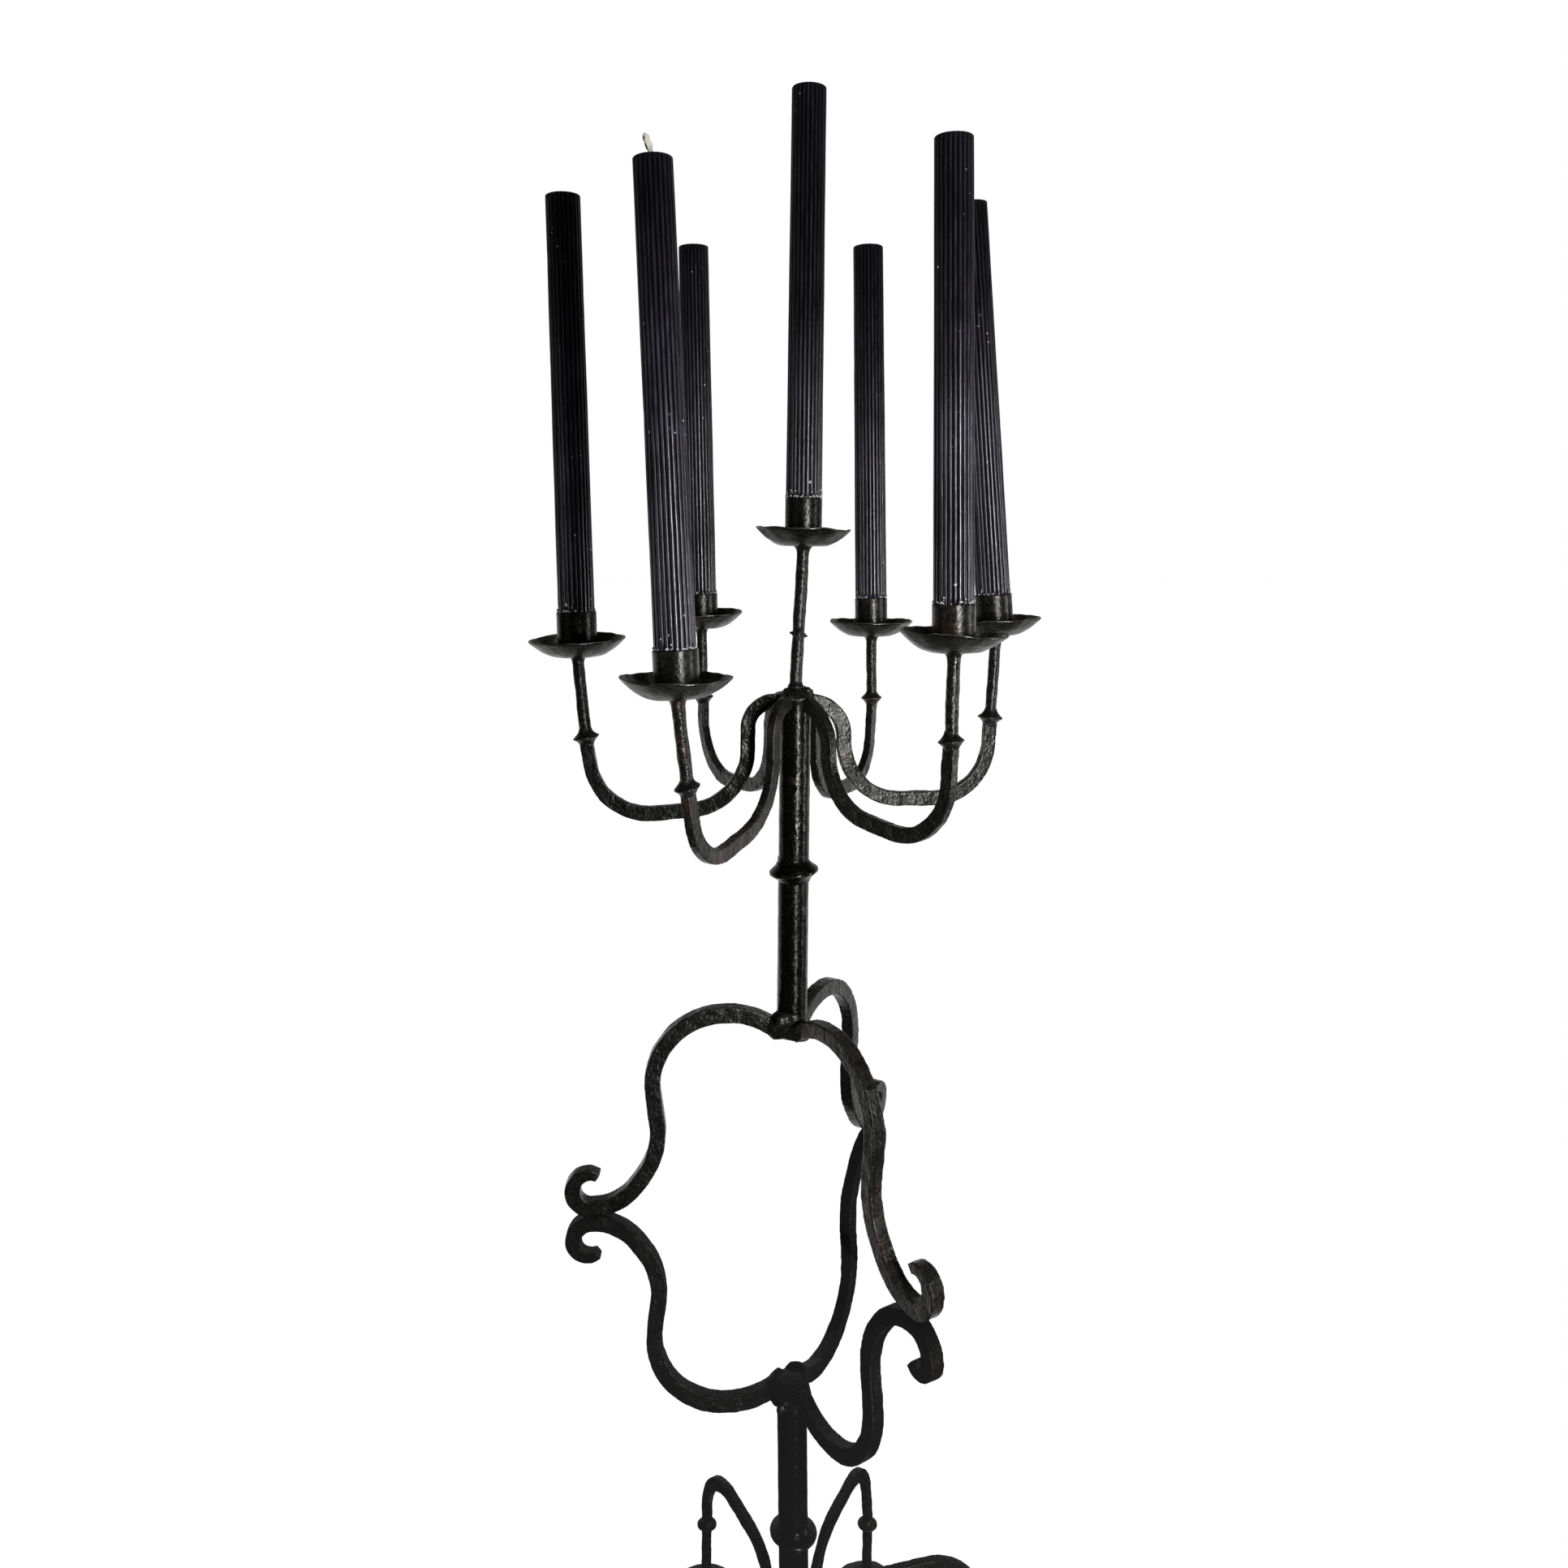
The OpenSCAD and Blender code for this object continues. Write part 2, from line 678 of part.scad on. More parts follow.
stem_tube();
stem_collar();
hub_plug();
leg_welds();
leg(LEG_LEFT);  // leg_left
leg(LEG_RIGHT);  // leg_right
leg(LEG_REAR);  // leg_rear
crown_plug();
crown_weld();
arm(RIGHT);  // arm_right
arm(REAR_RIGHT);  // arm_rear_right
arm(REAR_LEFT);  // arm_rear_left
arm(LEFT);  // arm_left
arm(FRONT_LEFT);  // arm_front_left
arm(FRONT_RIGHT);  // arm_front_right
arm_knot(RIGHT);  // knot_right
arm_knot(REAR_RIGHT);  // knot_rear_right
arm_knot(REAR_LEFT);  // knot_rear_left
arm_knot(LEFT);  // knot_left
arm_knot(FRONT_LEFT);  // knot_front_left
arm_knot(FRONT_RIGHT);  // knot_front_right
centre_rod();
centre_knot();
pan(RIGHT);  // pan_right
pan(REAR_RIGHT);  // pan_rear_right
pan(REAR_LEFT);  // pan_rear_left
pan(LEFT);  // pan_left
pan(FRONT_LEFT);  // pan_front_left
pan(FRONT_RIGHT);  // pan_front_right
pan(CENTRE);  // pan_centre
cup(RIGHT);  // cup_right
cup(REAR_RIGHT);  // cup_rear_right
cup(REAR_LEFT);  // cup_rear_left
cup(LEFT);  // cup_left
cup(FRONT_LEFT);  // cup_front_left
cup(FRONT_RIGHT);  // cup_front_right
cup(CENTRE);  // cup_centre
candle(RIGHT);  // candle_right
candle(REAR_RIGHT);  // candle_rear_right
candle(REAR_LEFT);  // candle_rear_left
candle(LEFT);  // candle_left
candle(FRONT_LEFT);  // candle_front_left
candle(FRONT_RIGHT);  // candle_front_right
candle(CENTRE);  // candle_centre
wick(RIGHT);  // wick_right
wick(REAR_RIGHT);  // wick_rear_right
wick(REAR_LEFT);  // wick_rear_left
wick(LEFT);  // wick_left
wick(FRONT_LEFT);  // wick_front_left
wick(FRONT_RIGHT);  // wick_front_right
wick(CENTRE);  // wick_centre
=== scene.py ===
"""Looks of a forged iron candelabrum: hammered bars, welds, drip pans, cups and ribbed black candles.

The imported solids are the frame. Bars, tube, knots and welds are hammered skins over their solids.
Pans, cups, candles and wicks are made new on the axis of their light. Lengths are in metres.
"""

import json
import math
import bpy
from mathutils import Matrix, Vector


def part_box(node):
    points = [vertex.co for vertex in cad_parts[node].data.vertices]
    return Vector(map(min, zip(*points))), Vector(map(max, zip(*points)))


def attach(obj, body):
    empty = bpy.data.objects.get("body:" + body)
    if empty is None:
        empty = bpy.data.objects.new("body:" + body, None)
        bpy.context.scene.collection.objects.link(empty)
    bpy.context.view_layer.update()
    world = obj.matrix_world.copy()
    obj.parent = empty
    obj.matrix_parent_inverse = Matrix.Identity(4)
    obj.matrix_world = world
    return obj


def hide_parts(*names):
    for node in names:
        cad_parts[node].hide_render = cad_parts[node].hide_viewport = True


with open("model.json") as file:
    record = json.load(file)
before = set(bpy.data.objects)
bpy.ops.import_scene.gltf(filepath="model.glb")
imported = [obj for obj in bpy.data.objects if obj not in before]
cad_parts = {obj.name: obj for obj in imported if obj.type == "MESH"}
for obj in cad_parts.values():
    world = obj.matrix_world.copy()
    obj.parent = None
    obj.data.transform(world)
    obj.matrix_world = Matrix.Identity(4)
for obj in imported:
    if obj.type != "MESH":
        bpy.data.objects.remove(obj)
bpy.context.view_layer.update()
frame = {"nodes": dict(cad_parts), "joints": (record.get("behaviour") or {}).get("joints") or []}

from types import SimpleNamespace

import bmesh
import bpy
from bpy.props import FloatProperty, FloatVectorProperty, IntProperty, PointerProperty
from mathutils import Matrix, Vector, noise

bl_info = {
    "name": "Forged candelabrum",
    "version": (1, 0, 0),
    "blender": (4, 5, 0),
    "location": "View3D > Sidebar > Candelabrum",
    "description": "Dresses a forged iron candelabrum with seven ribbed candles",
    "category": "Add Mesh",
}

MM = 0.001
UP = Vector((0, 0, 1))
# Points of a mesh that lie closer than this are one
MERGE = 0.002 * MM
ARMS = ("right", "rear_right", "rear_left", "left", "front_left", "front_right")
LIGHTS = ARMS + ("centre",)
LEGS = ("left", "right", "rear")
# The hole in a pan and in a cup's floor, which the tenon of the bar fills
TENON_R = 2.6 * MM
# The stem's outer radius
TUBE_R = 10 * MM
# How far each pan's rim was knocked out of level: the direction in degrees and the rise in mm
PAN_TILTS = {
    "right": (200, 0.6),
    "rear_right": (120, 0.5),
    "rear_left": (60, 0.8),
    "left": (80, 1.0),
    "front_left": (150, 1.6),
    "front_right": (170, 1.6),
    "centre": (190, 0.8),
}
# How far the right side of a knot's lip stands up, in mm, where the knot was driven on askew
KNOT_TILTS = {"front_left": 1.2, "left": 0.7, "right": -0.3}
# The others stand up as little as this
KNOT_TILT = 0.3


# ---------------------------------------------------------------- materials


def linear(code):
    """An sRGB hex colour as linear RGBA."""
    channels = [int(code[i : i + 2], 16) / 255 for i in (1, 3, 5)]
    return [c / 12.92 if c <= 0.04045 else ((c + 0.055) / 1.055) ** 2.4 for c in channels] + [1.0]


def add(tree, kind, inputs=None, **settings):
    """A shader node with its settings, its input values and its links.

    A link is given as an output socket, or as a node where its first output is meant.
    """
    made = tree.nodes.new("ShaderNode" + kind)
    for key, value in settings.items():
        setattr(made, key, value)
    for key, value in (inputs or {}).items():
        if isinstance(value, bpy.types.Node):
            value = value.outputs[0]
        if isinstance(value, bpy.types.NodeSocket):
            tree.links.new(value, made.inputs[key])
        else:
            made.inputs[key].default_value = value
    return made


def new_material(name):
    """A material with an empty node tree, and the object's own coordinates."""
    material = bpy.data.materials.new(name)
    material.use_nodes = True
    tree = material.node_tree
    tree.nodes.clear()
    return material, tree, add(tree, "TexCoord").outputs["Object"]


def forged_iron(
    name, look, warmth, metal=0.6, dents=0.26 * MM, shine=(0.22, 0.42), pit=520, deep=1.25
):
    """Mild steel with fire scale, rubbed with black wax: worked hot, so it is dented and finely pitted.

    The eye sees a near-black metal with a broken, streaky shine, pale edges (partly rubbed wear, partly a
    painted highlight) and brown scale in patches.
    Warmth spreads the brown scale, dents is the depth of the facets, shine gives the least and the most
    roughness, pit is the number of pits in a metre and deep multiplies their depth.
    """
    material, tree, where = new_material(name)
    # Brown scale lies in patches about 24 mm wide
    patches = add(tree, "TexNoise", {"Vector": where, "Scale": 42, "Detail": 5, "Roughness": 0.62})
    low, high = 0.64 - warmth * 0.3, 0.76 - warmth * 0.2
    brown = add(tree, "MapRange", {"Value": patches, "From Min": low, "From Max": high})
    scale = add(tree, "Mix", {0: brown, 6: look.iron_black, 7: look.iron_brown}, data_type="RGBA")
    # Soot lies in specks about 2 mm wide, with finer ones among them
    specks = add(tree, "TexNoise", {"Vector": where, "Scale": 520, "Detail": 4, "Roughness": 0.75})
    clean = add(tree, "MapRange", {"Value": specks, "From Min": 0.42, "From Max": 0.6})
    sooty = add(tree, "Mix", {0: clean, 6: look.iron_soot, 7: scale.outputs[2]}, data_type="RGBA")
    # Sharp edges are painted paler by their pointiness: partly wear rubbed by hands and cloths, partly a
    # painted highlight along the rounded edges
    edges = add(tree, "NewGeometry").outputs["Pointiness"]
    rubbed_and_lit_edges = add(tree, "MapRange", {"Value": edges, "From Min": 0.53, "From Max": 0.64})
    colour = add(tree, "Mix", {0: rubbed_and_lit_edges, 6: sooty.outputs[2], 7: look.iron_rubbed_and_highlight}, data_type="RGBA")
    # Black scale is to the eye part metal and part matt, and brown scale is matt
    metallic = add(tree, "MapRange", {"Value": brown, "To Min": metal, "To Max": 0.15})
    # The black wax was rubbed on unevenly, in patches 5 to 6 mm wide
    gloss = add(tree, "TexNoise", {"Vector": where, "Scale": 180, "Detail": 4, "Roughness": 0.6})
    roughness = add(
        tree,
        "MapRange",
        {"Value": gloss, "From Min": 0.3, "From Max": 0.7, "To Min": shine[0], "To Max": shine[1]},
    )
    # The hammer left facets about 4 mm wide
    facets = add(
        tree, "TexVoronoi", {"Vector": where, "Scale": 240, "Smoothness": 0.6}, feature="SMOOTH_F1"
    )
    blows = add(tree, "Bump", {"Height": facets, "Strength": 0.4, "Distance": dents})
    # The pits of fire scale are finer on real iron, and are drawn about 2 mm wide so that they show
    pits = add(tree, "TexNoise", {"Vector": where, "Scale": pit, "Detail": 1, "Roughness": 0.5})
    depth = look.grain_depth * deep
    grain = add(tree, "Bump", {"Height": pits, "Strength": 1.0, "Distance": depth, "Normal": blows})
    surface = add(
        tree,
        "BsdfPrincipled",
        {"Base Color": colour.outputs[2], "Metallic": metallic, "Roughness": roughness, "Normal": grain},
    )
    add(tree, "OutputMaterial", {"Surface": surface})
    return material


def black_wax(name, look):
    """Paraffin wax dyed black and drawn through a fluted die: satin, cool, scuffed grey along the ribs, with
    a painted sheen on the lower halves and painted shade in the grooves.
    """
    material, tree, where = new_material(name)
    # Scuffs run down the ribs, 1 mm across and some 18 mm long
    stretched = add(tree, "Mapping", {"Vector": where, "Scale": (1, 1, 0.06)})
    scuffs = add(tree, "TexNoise", {"Vector": stretched, "Scale": 900, "Detail": 4, "Roughness": 0.6})
    # They come and go in clouds about 45 mm wide
    cloud = add(tree, "TexNoise", {"Vector": where, "Scale": 22, "Detail": 2})
    both = add(tree, "Math", {0: scuffs, 1: cloud}, operation="MULTIPLY")
    scuffed = add(tree, "MapRange", {"Value": both, "From Min": 0.1, "From Max": 0.36})
    # The scuffed grey shows fully below 0.5 m up and fades out by 0.62 m: a painted sheen that makes the
    # lower halves paler
    height = add(tree, "SeparateXYZ", {0: where}).outputs["Z"]
    painted_low_sheen = add(
        tree, "MapRange", {"Value": height, "From Min": 0.62, "From Max": 0.5, "To Min": 0.3, "To Max": 1.0}
    )
    # The crest mask keeps the grooves black and lets the scuffed grey show only on the crests: wear on the
    # crests and painted shade in the grooves
    drawn = add(tree, "Attribute", attribute_name="crest").outputs["Fac"]
    crest = add(tree, "MapRange", {"Value": drawn, "From Min": 0.3, "From Max": 1.0})
    crest_wear_and_sheen = add(tree, "Math", {0: crest, 1: painted_low_sheen}, operation="MULTIPLY")
    scuffs_and_sheen = add(tree, "Math", {0: scuffed, 1: crest_wear_and_sheen}, operation="MULTIPLY")
    wax = add(tree, "Mix", {0: scuffs_and_sheen, 6: look.wax_black, 7: look.wax_scuffs_and_sheen}, data_type="RGBA")
    # Chips of pale dust about 1 mm wide lie here and there
    dust = add(tree, "TexVoronoi", {"Vector": where, "Scale": 170, "Randomness": 1.0})
    spots = add(tree, "MapRange", {"Value": dust, "From Min": 0.1, "From Max": 0.06})
    dusty = add(tree, "MapRange", {"Value": cloud, "From Min": 0.54, "From Max": 0.58})
    chips = add(tree, "Math", {0: spots, 1: dusty}, operation="MULTIPLY")
    colour = add(tree, "Mix", {0: chips, 6: wax.outputs[2], 7: look.dust_grey}, data_type="RGBA")
    roughness = add(
        tree, "MapRange", {"Value": scuffs, "From Min": 0.3, "From Max": 0.7, "To Min": 0.12, "To Max": 0.28}
    )
    # The specular level falls from the crests into the grooves: painted shade that darkens the grooves
    groove_shade_specular = add(tree, "MapRange", {"Value": crest, "To Min": 0.04, "To Max": 0.85})
    bump = add(tree, "Bump", {"Height": scuffs, "Strength": 0.35, "Distance": 0.12 * MM})
    surface = add(
        tree,
        "BsdfPrincipled",
        {
            "Base Color": colour.outputs[2],
            "Roughness": roughness,
            "IOR": 1.44,
            "Specular IOR Level": groove_shade_specular,
            "Normal": bump,
        },
    )
    add(tree, "OutputMaterial", {"Surface": surface})
    return material


def wax_dust(name, look):
    """Crumbs broken from the candles and bloomed to a chalky grey, in blotches about 1 mm wide."""
    material, tree, where = new_material(name)
    bloom = add(tree, "TexNoise", {"Vector": where, "Scale": 900, "Detail": 3})
    pale = add(tree, "MapRange", {"Value": bloom, "From Min": 0.25, "From Max": 0.5})
    colour = add(tree, "Mix", {0: pale, 6: look.wax_scuffs_and_sheen, 7: look.dust_grey}, data_type="RGBA")
    surface = add(tree, "BsdfPrincipled", {"Base Color": colour.outputs[2], "Roughness": 0.6})
    add(tree, "OutputMaterial", {"Surface": surface})
    return material


def cotton(name, look):
    """Plaited cotton dipped once in clear wax: cream, matt, with the plait just showing every 2 to 3 mm and
    painted shade between the strands.
    """
    material, tree, where = new_material(name)
    strands = add(
        tree,
        "TexWave",
        {"Vector": where, "Scale": 260, "Distortion": 3, "Detail": 2},
        bands_direction="DIAGONAL",
    ).outputs["Fac"]
    # Between the strands the colour is painted darker, as shade in the grooves of the plait
    colour = add(tree, "Mix", {0: strands, 6: look.cotton_painted_shade, 7: look.cotton_cream}, data_type="RGBA")
    bump = add(tree, "Bump", {"Height": strands, "Strength": 0.6, "Distance": 0.2 * MM})
    surface = add(
        tree, "BsdfPrincipled", {"Base Color": colour.outputs[2], "Roughness": 0.85, "Normal": bump}
    )
    add(tree, "OutputMaterial", {"Surface": surface})
    return material


MADE = {}


def stored(make, name, look, **finish):
    """A material by its name, made the first time that it is asked for."""
    if name not in MADE:
        MADE[name] = make(name, look, **finish)
    return MADE[name]


def iron(look):
    """The bars, dented and pitted by the fire"""
    return stored(forged_iron, "blackened forged iron", look, warmth=-0.1)


def warm_iron(look):
    """Bars and knots on which more brown scale was left"""
    return stored(forged_iron, "forged iron with brown scale", look, warmth=0.62)


def tube_iron(look):
    """The stem, drawn smoother than the bars, with a long streak of light"""
    drawn = {"metal": 0.9, "dents": 0.1 * MM, "shine": (0.17, 0.32), "pit": 400, "deep": 0.9}
    return stored(forged_iron, "blackened drawn tube", look, warmth=0.1, **drawn)


# Rolled sheet is nearly smooth
SHEET = {"dents": 0.08 * MM, "shine": (0.2, 0.38), "deep": 0.6}


def sheet_iron(look):
    """The pans and the darker cups"""
    return stored(forged_iron, "blackened sheet iron", look, warmth=0.1, metal=0.8, **SHEET)


def rusty_sheet(look):
    """The cups on which more brown scale was left"""
    return stored(forged_iron, "sheet iron with brown scale", look, warmth=0.42, metal=0.7, **SHEET)


# ---------------------------------------------------------------- shapes


def finish_piece(bm, name, material, slot, body, *nodes):
    """Turns a bmesh into a named piece that rides on a body and stands for the given CAD nodes."""
    mesh = bpy.data.meshes.new(name)
    bm.to_mesh(mesh)
    bm.free()
    mesh.polygons.foreach_set("use_smooth", [True] * len(mesh.polygons))
    mesh.materials.append(material)
    piece = bpy.data.objects.new(name, mesh)
    bpy.context.scene.collection.objects.link(piece)
    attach(piece, body)
    if nodes:
        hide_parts(*nodes)


def copied(*nodes):
    """The solids of some CAD nodes in one bmesh, merged into closed shells."""
    bm = bmesh.new()
    for node in nodes:
        bm.from_mesh(frame["nodes"][node].data)
    bmesh.ops.remove_doubles(bm, verts=bm.verts, dist=MERGE)
    return bm


def cut(bm, point, normal):
    """Keeps what lies behind a plane, and closes the cut."""
    geometry = bm.verts[:] + bm.edges[:] + bm.faces[:]
    made = bmesh.ops.bisect_plane(bm, geom=geometry, plane_co=point, plane_no=normal, clear_outer=True)
    edges = [e for e in made["geom_cut"] if isinstance(e, bmesh.types.BMEdge)]
    bmesh.ops.holes_fill(bm, edges=edges, sides=0)


def skinned(bm, voxel):
    """The outer skin of all shells in a bmesh as one even mesh, as a weld or a fire makes it one."""
    mesh = bpy.data.meshes.new("blank")
    bm.to_mesh(mesh)
    bm.free()
    blank = bpy.data.objects.new("blank", mesh)
    bpy.context.scene.collection.objects.link(blank)
    remesh = blank.modifiers.new("skin", "REMESH")
    remesh.mode = "VOXEL"
    remesh.voxel_size = voxel
    graph = bpy.context.evaluated_depsgraph_get()
    skin = bpy.data.meshes.new_from_object(blank.evaluated_get(graph))
    out = bmesh.new()
    out.from_mesh(skin)
    bpy.data.objects.remove(blank)
    bpy.data.meshes.remove(skin)
    bpy.data.meshes.remove(mesh)
    return out


def relax(bm, passes):
    """Rounds edges off, a fraction of the mesh's step at each pass."""
    for _ in range(passes):
        bmesh.ops.smooth_vert(
            bm, verts=bm.verts, factor=0.5, use_axis_x=True, use_axis_y=True, use_axis_z=True
        )


def hammer(bm, depth, width, seed, offset=None):
    """Moves the surface in and out as hammer blows of about the given width leave it."""
    bm.normal_update()
    shift = Vector((seed * 1.7, seed * 3.1, seed * 5.3))
    moves = []
    for v in bm.verts:
        at = v.co / width + shift
        blow = noise.noise(at) + 0.45 * noise.noise(at * 2.3)
        moves.append((v, v.normal * (depth * blow + (offset(v.co) if offset else 0.0))))
    for v, move in moves:
        v.co += move


def forge(name, nodes, body, look, material, seed, voxel=None, passes=None, depth=None, slot="iron"):
    """A hammered skin over the solids of some CAD nodes."""
    bm = skinned(copied(*nodes), voxel or look.skin_step)
    relax(bm, look.edge_passes if passes is None else passes)
    hammer(bm, look.dent_depth if depth is None else depth, look.dent_width, seed)
    finish_piece(bm, name, material, slot, body, *nodes)


def axis_of(light):
    """The direction in which a light's candle lifts out."""
    joint = next(j for j in frame["joints"] if j["name"] == "lift_" + light)
    return Vector(joint["axis"]).normalized()


def middle_of(bm):
    """The middle of a shell's surface."""
    area = sum(f.calc_area() for f in bm.faces)
    return sum((f.calc_center_median() * f.calc_area() for f in bm.faces), Vector()) / area


def placed(at, axis):
    """The matrix that puts the origin at a point, with +Z along an axis."""
    return Matrix.Translation(at) @ UP.rotation_difference(axis).to_matrix().to_4x4()


def seat_of(light):
    """The matrix that puts the origin on the middle of a pan's underside, with +Z up the candle."""
    axis = axis_of(light)
    bm = copied("pan_" + light)
    middle = middle_of(bm)
    low = min(v.co.dot(axis) for v in bm.verts)
    bm.free()
    return placed(middle + axis * (low - middle.dot(axis)), axis)


def reach_of(node, seat):
    """A node's outer radius, lowest height and highest height in a light's own place."""
    solid = copied(node)
    solid.transform(seat.inverted())
    outer = max(math.hypot(v.co.x, v.co.y) for v in solid.verts)
    low = min(v.co.z for v in solid.verts)
    high = max(v.co.z for v in solid.verts)
    solid.free()
    return outer, low, high


def ring_of(node):
    """The matrix that puts the origin on a turned node's axis, and the node's sizes in that place."""
    bm = copied(node)
    bm.normal_update()
    axis = UP
    # The faces that look up the axis give it, better at each pass
    for _ in range(4):
        upper = [f for f in bm.faces if f.normal.dot(axis) > 0.3]
        axis = sum((f.normal * f.calc_area() for f in upper), Vector()).normalized()
    seat = placed(middle_of(bm), axis)
    bm.transform(seat.inverted())
    reach = [(math.hypot(v.co.x, v.co.y), v.co.z) for v in bm.verts]
    bm.free()
    low, high = min(z for _, z in reach), max(z for _, z in reach)
    wide = max(r for r, _ in reach)
    rims = [z for r, z in reach if r > wide - 0.02 * MM]
    return seat, SimpleNamespace(
        bore=min(r for r, _ in reach),
        foot=max(r for r, z in reach if z < low + 0.05 * MM),
        wide=wide,
        low=low,
        rim=sum(rims) / len(rims),
        high=high,
    )


def flared_ring(node, lip, seed, tilt=0.0):
    """A ring drawn out to a lip under the hammer, with a hollow flare above and a short one below."""
    seat, ring = ring_of(node)
    steps = 12
    lower_hollow, upper_hollow = 1.5, 1.9
    points = [(ring.bore, ring.low)]
    for k in range(steps + 1):
        share = k / steps
        r = ring.foot + (ring.wide - ring.foot) * share**lower_hollow
        points.append((r, ring.low + (ring.rim - lip - ring.low) * share))
    points.append((ring.wide + lip * 0.15, ring.rim))
    top = ring.bore + 0.35 * MM
    for k in range(steps + 1):
        share = 1 - k / steps
        r = top + (ring.wide - top) * share**upper_hollow
        points.append((r, ring.high - (ring.high - ring.rim - lip) * share))
    points.append((ring.bore, ring.high))
    bm = turned(points + points[:1], steps=72)
    for v in bm.verts:
        out = (math.hypot(v.co.x, v.co.y) - ring.bore) / (ring.wide - ring.bore)
        v.co.z += tilt * max(0.0, out) * v.co.x / ring.wide
    hammer(bm, 0.2 * MM, 3.5 * MM, seed)
    bm.transform(seat)
    return bm


def grow(bm, edges):
    """Extrudes a ring of edges and gives the new ring's points and edges."""
    made = bmesh.ops.extrude_edge_only(bm, edges=edges)["geom"]
    verts = {g for g in made if isinstance(g, bmesh.types.BMVert)}
    made_edges = (g for g in made if isinstance(g, bmesh.types.BMEdge))
    return list(verts), [e for e in made_edges if verts.issuperset(e.verts)]


def turned(points, steps):
    """A shell turned about Z from a profile of (radius, height) points."""
    bm = bmesh.new()
    verts = [bm.verts.new((r, 0, z)) for r, z in points]
    edges = [bm.edges.new(pair) for pair in zip(verts, verts[1:])]
    bmesh.ops.spin(
        bm,
        geom=verts + edges,
        cent=(0, 0, 0),
        axis=UP,
        angle=math.tau,
        steps=steps,
        use_merge=True,
        use_duplicate=False,
    )
    bmesh.ops.remove_doubles(bm, verts=bm.verts, dist=MERGE)
    bmesh.ops.recalc_face_normals(bm, faces=bm.faces)
    return bm


def rounded(points, radius, count=4):
    """A closed profile's corners rounded off, for a turned wall with soft edges."""
    out = []
    for i, (point, size) in enumerate(zip(points, radius)):
        here = Vector(point)
        before, after = Vector(points[i - 1]), Vector(points[(i + 1) % len(points)])
        if size <= 0:
            out.append(here)
            continue
        a = here + (before - here).normalized() * size
        b = here + (after - here).normalized() * size
        for k in range(count + 1):
            t = k / count
            out.append(a.lerp(here, t).lerp(here.lerp(b, t), t))
    return out


# ---------------------------------------------------------------- settings


COLOUR = {"subtype": "COLOR", "size": 4, "min": 0, "max": 1}


class CandelabrumSizes(bpy.types.PropertyGroup):
    """Sizes that a user would change."""

    skin_step: FloatProperty(
        name="Skin step", description="Step of the mesh over the bars", default=0.55 * MM, unit="LENGTH"
    )
    edge_passes: IntProperty(
        name="Edge rounding", description="How often the bars' edges are rounded off", default=3, min=0
    )
    dent_depth: FloatProperty(
        name="Dent depth", description="Depth of the hammer marks", default=0.36 * MM, unit="LENGTH"
    )
    dent_width: FloatProperty(
        name="Dent width", description="Width of the hammer marks", default=9 * MM, unit="LENGTH"
    )
    weld_step: FloatProperty(
        name="Weld step", description="Step of the mesh over the welds", default=0.6 * MM, unit="LENGTH"
    )
    weld_rise: FloatProperty(
        name="Weld height", description="How far a weld stands proud", default=0.8 * MM, unit="LENGTH"
    )
    weld_passes: IntProperty(
        name="Weld rounding", description="How often the welds are rounded off", default=12, min=0
    )
    pan_wave: FloatProperty(
        name="Rim wave", description="How far a rim waves up and down", default=0.9 * MM, unit="LENGTH"
    )
    pan_curl: FloatProperty(
        name="Pan curl", description="How late a pan's side turns up", default=1.7, min=1
    )
    pan_wall: FloatProperty(
        name="Pan sheet", description="Thickness of a pan's sheet", default=1.0 * MM, unit="LENGTH"
    )
    cup_wall: FloatProperty(
        name="Cup sheet", description="Thickness of a cup's wall", default=0.8 * MM, unit="LENGTH"
    )
    candle_ribs: IntProperty(name="Ribs", description="Ribs round a candle", default=24, min=8)
    rib_depth: FloatProperty(
        name="Rib depth", description="Depth of the grooves between ribs", default=1.2 * MM, unit="LENGTH"
    )
    rib_roundness: FloatProperty(
        name="Rib roundness", description="2 makes round ribs, more makes them flat", default=3.2, min=1
    )
    candle_d: FloatProperty(
        name="Candle foot", description="Width over the ribs at the cup", default=23.2 * MM, unit="LENGTH"
    )
    candle_top_d: FloatProperty(
        name="Candle top", description="Width of a candle at its top", default=21.7 * MM, unit="LENGTH"
    )
    crumbs: IntProperty(
        name="Crumbs", description="Crumbs of wax round a cup's rim", default=54, min=0
    )


